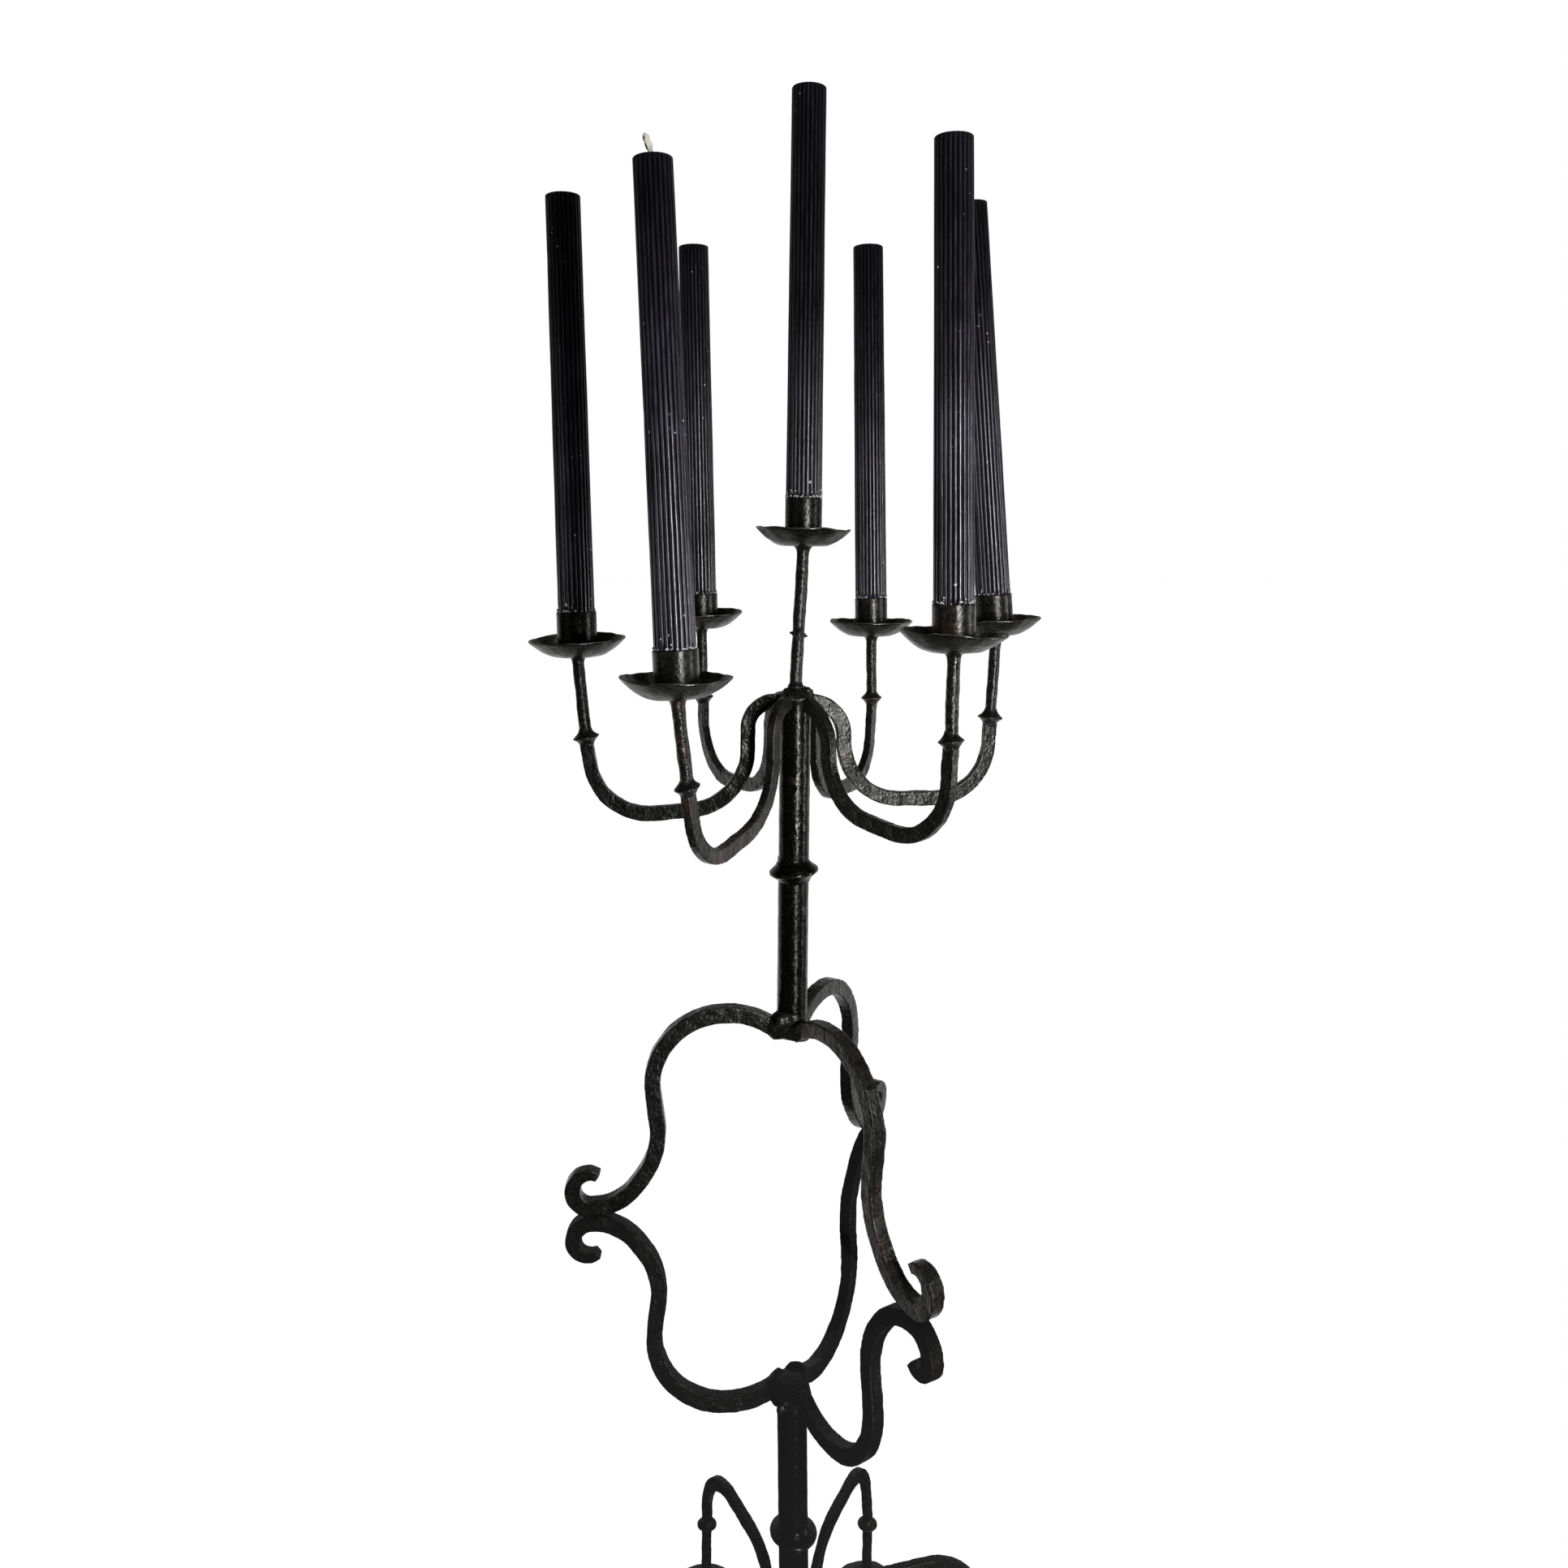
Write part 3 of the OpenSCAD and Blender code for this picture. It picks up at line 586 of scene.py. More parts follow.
class CandelabrumColours(bpy.types.PropertyGroup):
    """Colours that a user would change."""

    iron_black: FloatVectorProperty(
        name="Iron", description="Waxed fire scale", default=linear("#33342f"), **COLOUR
    )
    iron_soot: FloatVectorProperty(
        name="Soot", description="Sooty iron", default=linear("#191917"), **COLOUR
    )
    iron_brown: FloatVectorProperty(
        name="Brown scale", description="Brown scale", default=linear("#4a352a"), **COLOUR
    )
    # Pale colour of the sharp edges: partly rubbed wear, partly a painted highlight
    iron_rubbed_and_highlight: FloatVectorProperty(
        name="Rubbed edge", description="Rubbed edges", default=linear("#7c7a72"), **COLOUR
    )
    grain_depth: FloatProperty(
        name="Grain depth", description="Depth of the iron's fine pits", default=0.34 * MM, unit="LENGTH"
    )
    wax_black: FloatVectorProperty(
        name="Wax", description="Black wax", default=linear("#0a090c"), **COLOUR
    )
    # Pale grey of the crests: scuffs, and the painted sheen on the lower halves
    wax_scuffs_and_sheen: FloatVectorProperty(
        name="Scuffed wax", description="Scuffed wax", default=linear("#45424d"), **COLOUR
    )
    dust_grey: FloatVectorProperty(
        name="Wax dust", description="Crumbs of wax", default=linear("#c9c7ca"), **COLOUR
    )
    cotton_cream: FloatVectorProperty(
        name="Cotton", description="Cotton wick", default=linear("#f0ecde"), **COLOUR
    )
    # Painted shade between the strands
    cotton_painted_shade: FloatVectorProperty(
        name="Cotton shade", description="Between strands", default=linear("#cfc9b6"), **COLOUR
    )
    room_dim: FloatVectorProperty(
        name="Room", description="The room in front", default=linear("#1c1c1d"), **COLOUR
    )
    table_matt: FloatProperty(
        name="Matt table", description="Share of the table that is matt", default=0.02, min=0, max=1
    )
    table_mirror: FloatProperty(
        name="Table mirror", description="Share of the light mirrored", default=0.25, min=0.05, max=1
    )
    floor_white: FloatVectorProperty(
        name="Floor", description="Polished white table", default=linear("#fdfdfd"), **COLOUR
    )


def look_of(context):
    """The sizes and colours of both groups in one place."""
    look = SimpleNamespace()
    for group in (context.scene.candelabrum_sizes, context.scene.candelabrum_colours):
        for key in type(group).__annotations__:
            setattr(look, key, getattr(group, key))
    return look


# ---------------------------------------------------------------- pieces


class FORGE_OT_stem(bpy.types.Operator):
    """Makes the stem tube, its collar and the plug in its foot"""

    bl_idname = "candelabrum.stem"
    bl_label = "Stem"

    def execute(self, context):
        look = look_of(context)
        forge("stem", ("stem_tube",), "stand", look, tube_iron(look), 1, passes=2, depth=0.16 * MM)
        bm = flared_ring("stem_collar", 0.9 * MM, 2)
        finish_piece(bm, "collar", tube_iron(look), "iron", "stand", "stem_collar")
        forge("hub_dome", ("hub_plug",), "stand", look, iron(look), 3, slot="weld")
        plug = frame["nodes"]["crown_plug"]
        plug.data.materials.clear()
        plug.data.materials.append(iron(look))
        return {"FINISHED"}


class FORGE_OT_legs(bpy.types.Operator):
    """Makes the three scroll legs"""

    bl_idname = "candelabrum.legs"
    bl_label = "Legs"

    def execute(self, context):
        look = look_of(context)
        for seed, leg in enumerate(LEGS):
            finish = warm_iron(look) if leg == "right" else iron(look)
            forge("forged_leg_" + leg, ("leg_" + leg,), "stand", look, finish, 10 + seed)
        return {"FINISHED"}


class FORGE_OT_arms(bpy.types.Operator):
    """Makes the six bent arms with their rods, and the rod in the middle"""

    bl_idname = "candelabrum.arms"
    bl_label = "Arms"

    def execute(self, context):
        look = look_of(context)
        for seed, arm in enumerate(ARMS):
            finish = warm_iron(look) if arm == "front_left" else iron(look)
            name, nodes = "forged_arm_" + arm, ("arm_" + arm,)
            forge(name, nodes, "stand", look, finish, 20 + seed, voxel=0.5 * MM, passes=2)
        forge("forged_centre_rod", ("centre_rod",), "stand", look, iron(look), 28, voxel=0.45 * MM, passes=3)
        return {"FINISHED"}


class FORGE_OT_knots(bpy.types.Operator):
    """Makes the knots on the arms and on the rod in the middle"""

    bl_idname = "candelabrum.knots"
    bl_label = "Knots"

    def execute(self, context):
        look = look_of(context)
        for seed, arm in enumerate(ARMS):
            finish = warm_iron(look) if arm in ("right", "rear_right") else iron(look)
            bm = flared_ring("knot_" + arm, 0.3 * MM, 30 + seed, KNOT_TILTS.get(arm, KNOT_TILT) * MM)
            finish_piece(bm, "forged_knot_" + arm, finish, "iron", "stand", "knot_" + arm)
        bm = flared_ring("centre_knot", 0.25 * MM, 38)
        finish_piece(bm, "forged_centre_knot", iron(look), "iron", "stand", "centre_knot")
        return {"FINISHED"}


class FORGE_OT_welds(bpy.types.Operator):
    """Makes the welds that join the legs and the arms to the stem"""

    bl_idname = "candelabrum.welds"
    bl_label = "Welds"

    # How far from its middle a weld reaches over the bars
    reach = 19 * MM

    def drop(self, bm, middle, drops, flat=1.0):
        """Drops of weld, each of a place and a radius in mm, and pressed flat from the front"""
        for at, radius in drops:
            made = bmesh.ops.create_icosphere(bm, subdivisions=3, radius=radius * MM)["verts"]
            bmesh.ops.scale(bm, verts=made, vec=(1.0, flat, 1.0))
            bmesh.ops.translate(bm, verts=made, vec=middle + Vector(at) * MM)

    def flow(self, look, name, nodes, middle, seed, height, pools, drops, flat, trim):
        """A weld that has flowed over the ends of the bars, and dips under their skins at its edge

        The first node is the weld, and the others are what it joins.
        """
        bm = copied(*nodes)
        self.drop(bm, middle, pools)
        for direction in (UP, -UP):
            cut(bm, middle + direction * self.reach, direction)
        for turn in range(8):
            angle = math.tau * turn / 8
            direction = Vector((math.cos(angle), math.sin(angle), 0))
            cut(bm, middle + direction * self.reach, direction)
        bm = skinned(bm, look.weld_step)
        relax(bm, look.weld_passes)

        def rise(at):
            """Full height in the middle, and 1.1 mm under the bars' skins at the edge"""
            away = min(1.0, (at - middle).length / (self.reach * 0.98))
            return height - (height + 1.1 * MM) * away**3

        hammer(bm, 0.3 * MM, 4 * MM, seed, rise)
        for v in bm.verts:
            trim(v.co)
        # The last drops lie on the weld and keep their shape
        self.drop(bm, middle, drops, flat)
        bm = skinned(bm, look.weld_step)
        relax(bm, 2)
        finish_piece(bm, name, iron(look), "weld", "stand", nodes[0])

    def hub(self, look):
        """Weld pooled under the stem's foot and in the crook over the left leg, and a knob over it"""
        low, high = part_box("leg_welds")
        middle = Vector((0, 0, (low.z + high.z) / 2))
        pools = (((-4, -6, -1.5), 5), ((1.5, -8, -1.8), 4.5), ((0, 0, -0.5), 7), ((-10, -4, 7), 4.5))
        # Two drops pressed flat make the knob
        drops = (((-7.8, -12.4, 8), 3.3), ((-7.8, -12.4, 7.2), 3.3))
        nodes = ["leg_welds"] + ["leg_" + leg for leg in LEGS] + ["stem_tube"]

        def level(at):
            """Below, the weld is ground off nearly level, and higher in front"""
            front = min(1.0, max(0.0, -at.y / (9 * MM)))
            at.z += 0.9 * max(0.0, middle.z - 9.5 * MM + 4.2 * MM * front - at.z)

        self.flow(look, "hub_weld", nodes, middle, 41, look.weld_rise, pools, drops, 0.42, level)

    def crown(self, look):
        """A dome over the stem's top, with drops of weld beside the foot of the middle rod"""
        low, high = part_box("crown_weld")
        middle = Vector(((low.x + high.x) / 2, (low.y + high.y) / 2, (low.z + high.z) / 2))
        pools = (((0, -2, 0), 7), ((-4.5, -1, 0), 6.2), ((4.5, -1, 0), 6.2))
        drops = (((7.5, -3, 5.2), 2.4), ((9.5, 1.5, 3.6), 2.2), ((6, 3.5, 5.6), 1.8), ((-6.5, -4, 5.4), 1.7))
        nodes = ["crown_weld"] + ["arm_" + arm for arm in ARMS] + ["stem_tube"]
        _, tube_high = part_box("stem_tube")
        axis_x = tube_high.x - TUBE_R

        def narrow(at):
            """Downwards, the weld runs out on the tube between the arms"""
            share = min(1.0, max(0.0, (at.z - middle.z + 6 * MM) / (14 * MM)))
            limit = TUBE_R - 0.3 * MM + 12 * MM * share**2
            r = math.hypot(at.x - axis_x, at.y)
            if r > limit:
                at.x = axis_x + (at.x - axis_x) * limit / r
                at.y *= limit / r

        self.flow(look, "crown_weld_skin", nodes, middle, 42, look.weld_rise / 2, pools, drops, 1.0, narrow)

    def execute(self, context):
        look = look_of(context)
        self.hub(look)
        self.crown(look)
        return {"FINISHED"}


class FORGE_OT_pans(bpy.types.Operator):
    """Raises the seven drip pans from sheet, each with a rim that waves a little"""

    bl_idname = "candelabrum.pans"
    bl_label = "Drip pans"

    def execute(self, context):
        look = look_of(context)
        for seed, light in enumerate(LIGHTS):
            seat = seat_of(light)
            rim_r, _, rim_z = reach_of("pan_" + light, seat)
            # The cup stands on the flat middle, and the side rises round it
            flat_r = 12.8 * MM
            under = [(TENON_R, 0.0)]
            steps = 22
            for k in range(steps + 1):
                share = k / steps
                r = flat_r + (rim_r - flat_r) * share
                under.append((r, (rim_z - look.pan_wall) * share**look.pan_curl))
            edge = [(rim_r + 0.25 * MM, rim_z - look.pan_wall * 0.5)]
            upper = [(r, z + look.pan_wall) for r, z in reversed(under)]
            bm = turned(under + edge + upper + under[:1], steps=128)
            direction, rise = PAN_TILTS[light]
            for v in bm.verts:
                r = math.hypot(v.co.x, v.co.y)
                out = max(0.0, (r - flat_r) / (rim_r - flat_r))
                angle = math.atan2(v.co.y, v.co.x)
                ring = Vector((math.cos(angle) * 1.6, math.sin(angle) * 1.6, seed * 7.3))
                wave = noise.noise(ring) + 0.5 * noise.noise(ring * 2.7)
                level = look.pan_wave * wave + rise * MM * math.cos(angle - math.radians(direction))
                # The hammer left rings of shallow dents
                at = Vector((v.co.x, v.co.y, 0)) / (6.5 * MM) + UP * (seed * 2.9 + 0.3)
                dent = noise.noise(at) + 0.5 * math.sin(r / (1.25 * MM)) * noise.noise(at * 0.6 + UP * 5)
                v.co.z += out**2 * level + 0.32 * MM * min(1.0, out * 6) * dent
                spread = 1 + 0.02 * out**3 * noise.noise(ring * 1.9 + UP)
                v.co.x *= spread
                v.co.y *= spread
            bm.transform(seat)
            finish_piece(bm, "drip_pan_" + light, sheet_iron(look), "sheet", "stand", "pan_" + light)
        return {"FINISHED"}


class FORGE_OT_cups(bpy.types.Operator):
    """Rolls the seven candle cups, with their floors and soft upper edges"""

    bl_idname = "candelabrum.cups"
    bl_label = "Cups"

    def execute(self, context):
        look = look_of(context)
        warm = ("right", "front_right", "front_left", "rear_right")
        for seed, light in enumerate(LIGHTS):
            seat = seat_of(light)
            outer, base, top = reach_of("cup_" + light, seat)
            bore = outer - look.cup_wall
            floor = base + 1.2 * MM
            outside = [(TENON_R, base), (outer, base), (outer, top)]
            shell = outside + [(bore, top), (bore, floor), (TENON_R, floor)]
            soft = rounded(shell, [0, 0.5 * MM, 0.38 * MM, 0.38 * MM, 0.3 * MM, 0])
            profile = []
            for a, b in zip(soft, soft[1:] + soft[:1]):
                parts = max(1, int((b - a).length / (1.2 * MM)))
                profile += [a.lerp(b, k / parts) for k in range(parts)]
            bm = turned([(p.x, p.y) for p in profile + profile[:1]], steps=96)
            for v in bm.verts:
                high = (v.co.z - base) / (top - base)
                angle = math.atan2(v.co.y, v.co.x)
                ring = Vector((math.cos(angle) * 1.3, math.sin(angle) * 1.3, seed * 4.1))
                is_outer = math.hypot(v.co.x, v.co.y) > bore + 0.2 * MM
                push = 1 + 0.012 * high * noise.noise(ring) if is_outer else 1
                v.co.x *= push
                v.co.y *= push
                v.co.z += 0.25 * MM * high**6 * noise.noise(ring * 2.2)
            bm.transform(seat)
            finish = rusty_sheet(look) if light in warm else sheet_iron(look)
            finish_piece(bm, "candle_cup_" + light, finish, "sheet", "stand", "cup_" + light)
        return {"FINISHED"}


class FORGE_OT_candles(bpy.types.Operator):
    """Draws the seven ribbed candles"""

    bl_idname = "candelabrum.candles"
    bl_label = "Candles"

    def execute(self, context):
        look = look_of(context)
        for seed, light in enumerate(LIGHTS):
            seat = seat_of(light)
            foot_r, low, high = reach_of("candle_" + light, seat)
            _, _, rim = reach_of("cup_" + light, seat)
            shaft_r, top_r = look.candle_d / 2, look.candle_top_d / 2
            rib_points = 10
            bm = bmesh.new()
            bmesh.ops.create_circle(bm, cap_ends=False, radius=foot_r, segments=look.candle_ribs * rib_points)
            first = edges = bm.edges[:]
            bmesh.ops.translate(bm, verts=bm.verts, vec=UP * low)
            # The foot was shaved round to go into the cup, and the ribs start above its rim
            verts, edges = grow(bm, edges)
            bmesh.ops.translate(bm, verts=verts, vec=UP * (rim + 0.3 * MM - low))
            verts, edges = grow(bm, edges)
            for v in verts:
                # Round ribs that meet in narrow grooves
                turn = math.atan2(v.co.y, v.co.x) / math.tau * look.candle_ribs
                share = abs(turn % 1.0 - 0.5) * 2
                r = shaft_r - look.rib_depth * share**look.rib_roundness
                v.co.x *= r / foot_r
                v.co.y *= r / foot_r
                v.co.z += 0.25 * MM
            steps = 56
            taper = (top_r / shaft_r) ** (1 / steps)
            for k in range(steps):
                verts, edges = grow(bm, edges)
                bmesh.ops.translate(bm, verts=verts, vec=UP * (high - rim - 1.15 * MM) / steps)
                bmesh.ops.scale(bm, verts=verts, vec=(taper, taper, 1))
            # The top is melted smooth: a soft lip, then a shallow dish round the wick
            melt = ((0.96, 0.35), (0.9, 0.2), (0.78, 0.0), (0.5, -0.45), (0.2, -0.35), (0.09, 0.15))
            for share, rise in melt:
                verts, edges = grow(bm, edges)
                for v in verts:
                    r = math.hypot(v.co.x, v.co.y)
                    v.co.x *= top_r * share / r
                    v.co.y *= top_r * share / r
                bmesh.ops.translate(bm, verts=verts, vec=UP * rise * MM)
            bmesh.ops.holes_fill(bm, edges=edges, sides=0)
            bmesh.ops.holes_fill(bm, edges=first, sides=0)
            bmesh.ops.recalc_face_normals(bm, faces=bm.faces)
            # The crest attribute, 1 on the crests and 0 in the grooves, carries the wax's painted groove
            # shade
            crest = bm.verts.layers.float.new("crest")
            for v in bm.verts:
                turn = math.atan2(v.co.y, v.co.x) / math.tau * look.candle_ribs
                # The melted top has no crests
                if math.hypot(v.co.x, v.co.y) > top_r * 0.88:
                    v[crest] = 1 - (abs(turn % 1.0 - 0.5) * 2) ** 2
                # Handled wax: the ribs sway by up to a tenth of a millimetre, and some are bruised
                at = Vector((v.co.x / (7 * MM), v.co.y / (7 * MM), v.co.z / (30 * MM) + seed * 3.3))
                sway = 0.12 * MM * noise.noise(at)
                bruise = 0.55 * MM * max(0.0, noise.noise(at * 2.2 + UP * 9) - 0.42)
                out = Vector((v.co.x, v.co.y, 0))
                if out.length > top_r * 0.8:
                    v.co += out.normalized() * (sway - bruise)
            bm.transform(seat)
            wax = stored(black_wax, "black dyed paraffin wax", look)
            finish_piece(bm, "ribbed_candle_" + light, wax, "wax", "light_" + light, "candle_" + light)
        return {"FINISHED"}


class FORGE_OT_crumbs(bpy.types.Operator):
    """Strews crumbs of wax where the candles stand in their cups"""

    bl_idname = "candelabrum.crumbs"
    bl_label = "Wax crumbs"

    def execute(self, context):
        look = look_of(context)
        # How much more or less than usual lies round a cup
        strewn = {"right": 0.5, "rear_right": 0.5, "rear_left": 0.5, "left": 1.3, "centre": 1.5}
        for seed, light in enumerate(LIGHTS):
            seat = seat_of(light)
            _, _, rim = reach_of("cup_" + light, seat)
            candle_r = look.candle_d / 2
            bm = bmesh.new()
            for i in range(int(look.crumbs * strewn.get(light, 1.0))):
                draws = [Vector((i * 3.71 + 0.31 * k, seed * 5.13 + 0.7, k * 2.9)) for k in range(3)]
                pick = [noise.noise(at) for at in draws]
                angle = math.tau * ((i * 0.618 + 0.5 * pick[0]) % 1.0)
                size = (0.42 + 1.1 * abs(pick[1])) * MM
                # One in four has stuck higher up
                rise = (1.1 + abs(pick[2]) * (16 if i % 4 == 0 else 1.5)) * size
                crumb = bmesh.ops.create_icosphere(bm, subdivisions=1, radius=size)["verts"]
                for v in crumb:
                    v.co *= 0.75 + 0.5 * abs(noise.noise(v.co * 3000 + Vector((i, seed, 0))))
                r = candle_r + 0.1 * size
                bmesh.ops.translate(
                    bm, verts=crumb, vec=(r * math.cos(angle), r * math.sin(angle), rim + rise)
                )
            bm.transform(seat)
            dust = stored(wax_dust, "bloomed wax crumbs", look)
            finish_piece(bm, "wax_crumbs_" + light, dust, "wax", "light_" + light)
        return {"FINISHED"}


class FORGE_OT_wicks(bpy.types.Operator):
    """Plaits the seven wicks: six trimmed short, and one left long, frayed and leaning"""

    bl_idname = "candelabrum.wicks"
    bl_label = "Wicks"

    def execute(self, context):
        look = look_of(context)
        cotton_wick = stored(cotton, "plaited cotton wick", look)
        # Stations of (mm to the side, mm above the wax, radius in mm)
        short = ((0, -5, 0.9), (0, 0, 0.9), (0.1, 1.2, 0.95), (0.2, 1.85, 0.7))
        root = ((0, -6, 0.9), (0, -0.3, 0.95), (-0.5, 1.3, 1.05), (-1.1, 3.0, 1.25), (-1.5, 4.8, 1.6))
        brush = ((-2.0, 6.8, 1.9), (-2.6, 8.8, 1.95), (-3.1, 10.8, 1.75))
        end = ((-3.4, 12.2, 1.3), (-3.5, 12.9, 0.6))
        parts = 5
        for seed, light in enumerate(LIGHTS):
            path = root + brush + end if light == "front_left" else short
            seat = seat_of(light)
            _, _, wax = reach_of("candle_" + light, seat)
            bm = bmesh.new()
            ring = bmesh.ops.create_circle(bm, cap_ends=True, radius=path[0][2] * MM, segments=18)["verts"]
            edges = bm.edges[:]
            middle = Vector((path[0][0], 0, path[0][1])) * MM
            bmesh.ops.translate(bm, verts=ring, vec=middle)
            for before, after in zip(path, path[1:]):
                for k in range(parts):
                    was = before[2] + (after[2] - before[2]) * k / parts
                    now = before[2] + (after[2] - before[2]) * (k + 1) / parts
                    verts, edges = grow(bm, edges)
                    bmesh.ops.scale(
                        bm, verts=verts, vec=(now / was, now / was, 1), space=Matrix.Translation(-middle)
                    )
                    step = Vector((after[0] - before[0], 0, after[1] - before[1])) * MM / parts
                    bmesh.ops.translate(bm, verts=verts, vec=step)
                    middle += step
                    # Three strands plaited round each other
                    for v in verts:
                        out = v.co - middle
                        turn = math.atan2(out.y, out.x)
                        plait = math.sin(3 * turn + v.co.z / (0.8 * MM))
                        plait += 0.5 * math.sin(5 * turn - v.co.z / (0.6 * MM))
                        v.co += Vector((out.x, out.y, 0)) * 0.06 * plait
            bmesh.ops.holes_fill(bm, edges=edges, sides=0)
            bmesh.ops.recalc_face_normals(bm, faces=bm.faces)
            bm.transform(seat @ Matrix.Translation(UP * wax))
            finish_piece(bm, "plaited_wick_" + light, cotton_wick, "wick", "light_" + light, "wick_" + light)
        return {"FINISHED"}


# ---------------------------------------------------------------- stage


# Soft boxes: name, place, what it points at, width and height, and power in watts
LAMPS = (
    ("key", (0.36, -0.96, 0.32), (0, 0, 0.32), (0.1, 0.6), 10),
    ("side", (1.0, -0.22, 0.22), (0, 0, 0.25), (0.12, 0.5), 2.4),
    ("fill", (-1.2, -0.8, 0.5), (0, 0, 0.3), (0.5, 0.6), 0.25),
    ("overhead", (0.1, 0.2, 1.6), (0, 0, 0.3), (0.6, 0.6), 3),
)
ROOM_PALE = (0.3, 0.3, 0.3, 1.0)
# The camera, solved from the feet, the mirror image in the table and the upright candles
CAMERA_AT = (-0.0512, -0.7754, 0.4471)
CAMERA_AIM = (0.05917, 0.99594, -0.06779)
CAMERA_LENS = 27.73
CAMERA_SHIFT = -0.1062


class FORGE_OT_stage(bpy.types.Operator):
    """Lays the polished white table, and sets the lamps, the world and the camera"""

    bl_idname = "candelabrum.stage"
    bl_label = "Stage"

    def lay_table(self, look, scene):
        """A polished white table that mirrors what stands on it"""
        bm = bmesh.new()
        bmesh.ops.create_grid(bm, x_segments=1, y_segments=1, size=12)
        mesh = bpy.data.meshes.new("table")
        bm.to_mesh(mesh)
        bm.free()
        material, tree, _ = new_material("polished white table")
        share = look.table_mirror
        mirror = add(tree, "BsdfAnisotropic", {"Color": (share, share, share, 1), "Roughness": 0.0})
        matt = add(tree, "BsdfDiffuse", {"Color": look.floor_white})
        surface = add(tree, "MixShader", {0: look.table_matt, 1: mirror, 2: matt})
        add(tree, "OutputMaterial", {"Surface": surface})
        mesh.materials.append(material)
        table = bpy.data.objects.new("table", mesh)
        scene.collection.objects.link(table)

    def set_room(self, look, scene):
        """A room pale behind and beside the object, dim in front and overhead, and white to the camera"""
        world = bpy.data.worlds.new("studio")
        scene.world = world
        world.use_nodes = True
        tree = world.node_tree
        tree.nodes.clear()
        view = add(tree, "TexCoord").outputs["Generated"]
        parts = add(tree, "SeparateXYZ", {0: view}).outputs
        front = add(tree, "MapRange", {"Value": parts["Y"], "From Min": 0.8, "From Max": 0.3})
        above = add(tree, "MapRange", {"Value": parts["Z"], "From Min": 0.2, "From Max": 0.7})
        dim = add(tree, "Math", {0: front, 1: above}, operation="MAXIMUM")
        room = add(tree, "Mix", {0: dim, 6: ROOM_PALE, 7: look.room_dim}, data_type="RGBA").outputs[2]
        rays = add(tree, "LightPath").outputs
        singular = rays["Is Singular Ray"]
        # Black flags stand beside the white backdrop, so that iron and wax show a fifth of it at their edges
        backdrop = add(tree, "MapRange", {"Value": dim, "To Min": 0.2, "To Max": 0.0})
        share = add(tree, "Math", {0: rays["Is Glossy Ray"], 1: backdrop}, operation="MULTIPLY")
        # The camera sees the backdrop in the table too: its rays have been mirrored no more than twice
        early = add(tree, "Math", {0: rays["Ray Depth"], 1: 2.5}, operation="LESS_THAN")
        table_ray = add(tree, "Math", {0: singular, 1: early}, operation="MULTIPLY")
        # Undersides see it in the table where it stands, at nine tenths of its light
        behind = add(tree, "MapRange", {"Value": parts["Y"], "From Min": 0.0, "From Max": 0.5, "To Max": 0.9})
        under = add(tree, "Math", {0: singular, 1: behind}, operation="MULTIPLY")
        for ray in (rays["Is Camera Ray"], rays["Is Transmission Ray"], table_ray, under):
            share = add(tree, "Math", {0: share, 1: ray}, operation="MAXIMUM")
        # The table mirrors only a share of the light, so the backdrop is that much brighter over it
        boost = 1 / (look.table_mirror * (1 - look.table_matt))
        more = add(tree, "Math", {0: singular, 1: boost - 1}, operation="MULTIPLY")
        bright = add(tree, "Math", {0: more, 1: 1.0}, operation="ADD")
        white = add(tree, "Background", {"Color": (1, 1, 1, 1), "Strength": bright})
        soft = add(tree, "Background", {"Color": room, "Strength": 1.0})
        seen = add(tree, "MixShader", {0: share, 1: soft, 2: white})
        add(tree, "OutputWorld", {"Surface": seen})

    def hang_lamps(self, scene):
        """The soft boxes, each turned to what it points at"""
        for name, at, aim, size, power in LAMPS:
            data = bpy.data.lights.new(name, "AREA")
            data.shape = "RECTANGLE"
            data.size, data.size_y = size
            data.energy = power
            lamp = bpy.data.objects.new(name, data)
            lamp.location = at
            lamp.rotation_euler = (Vector(aim) - Vector(at)).to_track_quat("-Z", "Y").to_euler()
            scene.collection.objects.link(lamp)

    def set_camera(self, scene):
        """The camera where the photographer's stood"""
        camera = bpy.data.objects.new("camera", bpy.data.cameras.new("camera"))
        camera.data.lens = CAMERA_LENS
        camera.data.sensor_width = 36
        camera.data.sensor_fit = "HORIZONTAL"
        camera.data.shift_y = CAMERA_SHIFT
        camera.data.clip_start = 0.01
        camera.location = CAMERA_AT
        camera.rotation_euler = Vector(CAMERA_AIM).to_track_quat("-Z", "Y").to_euler()
        scene.collection.objects.link(camera)
        scene.camera = camera

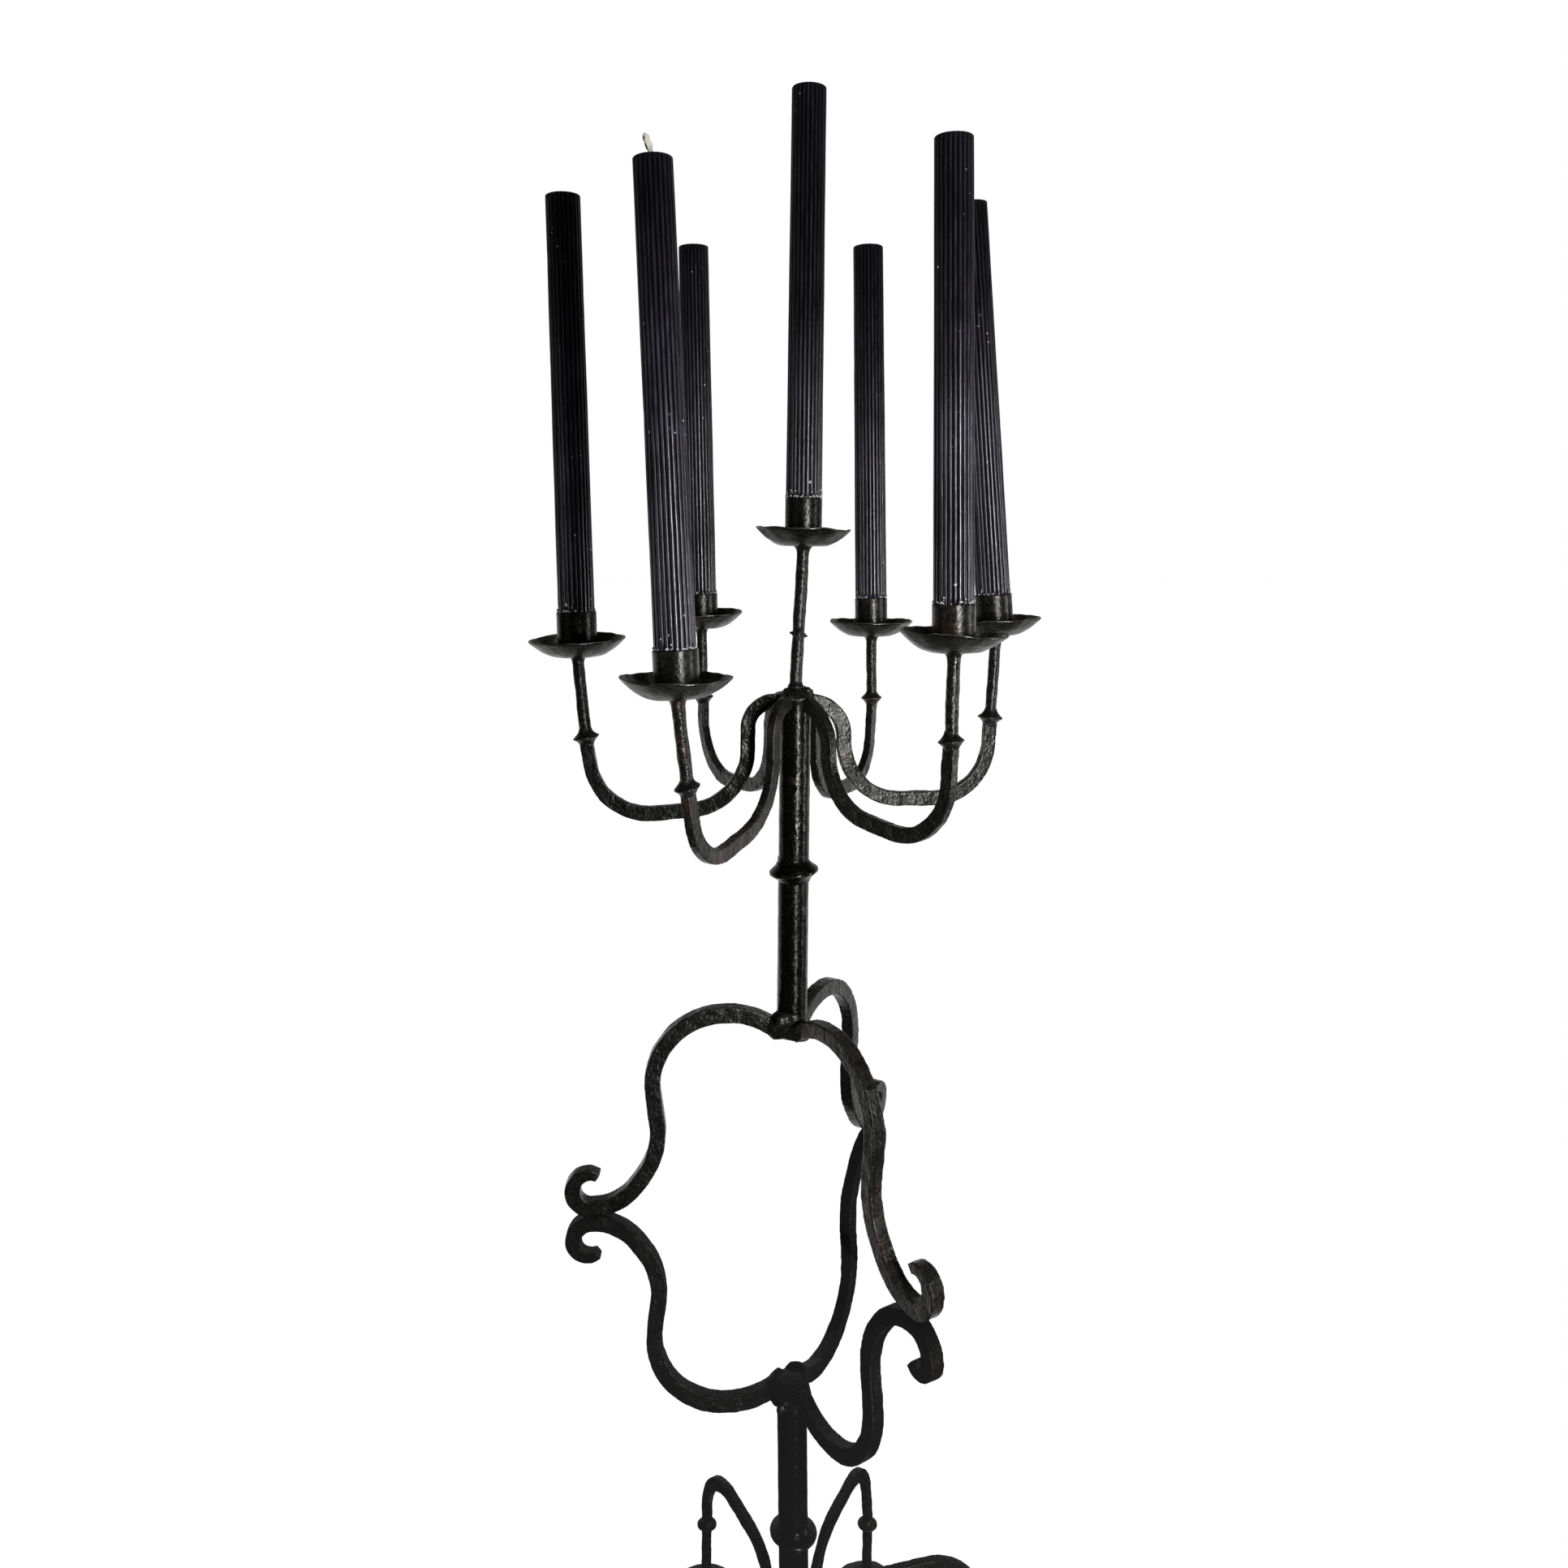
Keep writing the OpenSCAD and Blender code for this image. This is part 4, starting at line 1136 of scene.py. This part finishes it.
    def execute(self, context):
        look = look_of(context)
        self.lay_table(look, context.scene)
        self.set_room(look, context.scene)
        self.hang_lamps(context.scene)
        self.set_camera(context.scene)
        context.scene.view_settings.view_transform = "Standard"
        return {"FINISHED"}


class FORGE_PT_panel(bpy.types.Panel):
    """The panel that lists the pieces and their settings"""

    bl_label = "Candelabrum"
    bl_idname = "FORGE_PT_panel"
    bl_space_type = "VIEW_3D"
    bl_region_type = "UI"
    bl_category = "Candelabrum"

    def draw(self, context):
        for group in (context.scene.candelabrum_sizes, context.scene.candelabrum_colours):
            for key in group.__annotations__:
                self.layout.prop(group, key)
        for step in STEPS:
            self.layout.operator(step.bl_idname)


STEPS = (
    FORGE_OT_stage,
    FORGE_OT_stem,
    FORGE_OT_legs,
    FORGE_OT_arms,
    FORGE_OT_knots,
    FORGE_OT_welds,
    FORGE_OT_pans,
    FORGE_OT_cups,
    FORGE_OT_candles,
    FORGE_OT_crumbs,
    FORGE_OT_wicks,
)
CLASSES = (CandelabrumSizes, CandelabrumColours) + STEPS + (FORGE_PT_panel,)


def register():
    """Adds the classes and the two groups of settings"""
    for made in CLASSES:
        bpy.utils.register_class(made)
    bpy.types.Scene.candelabrum_sizes = PointerProperty(type=CandelabrumSizes)
    bpy.types.Scene.candelabrum_colours = PointerProperty(type=CandelabrumColours)


def unregister():
    """Takes them away again"""
    del bpy.types.Scene.candelabrum_colours
    del bpy.types.Scene.candelabrum_sizes
    for made in reversed(CLASSES):
        bpy.utils.unregister_class(made)


def main():
    """Makes the stage and all pieces"""
    register()
    bpy.ops.candelabrum.stage()
    bpy.ops.candelabrum.stem()
    bpy.ops.candelabrum.legs()
    bpy.ops.candelabrum.arms()
    bpy.ops.candelabrum.knots()
    bpy.ops.candelabrum.welds()
    bpy.ops.candelabrum.pans()
    bpy.ops.candelabrum.cups()
    bpy.ops.candelabrum.candles()
    bpy.ops.candelabrum.crumbs()
    bpy.ops.candelabrum.wicks()


if __name__ == "__main__":
    main()
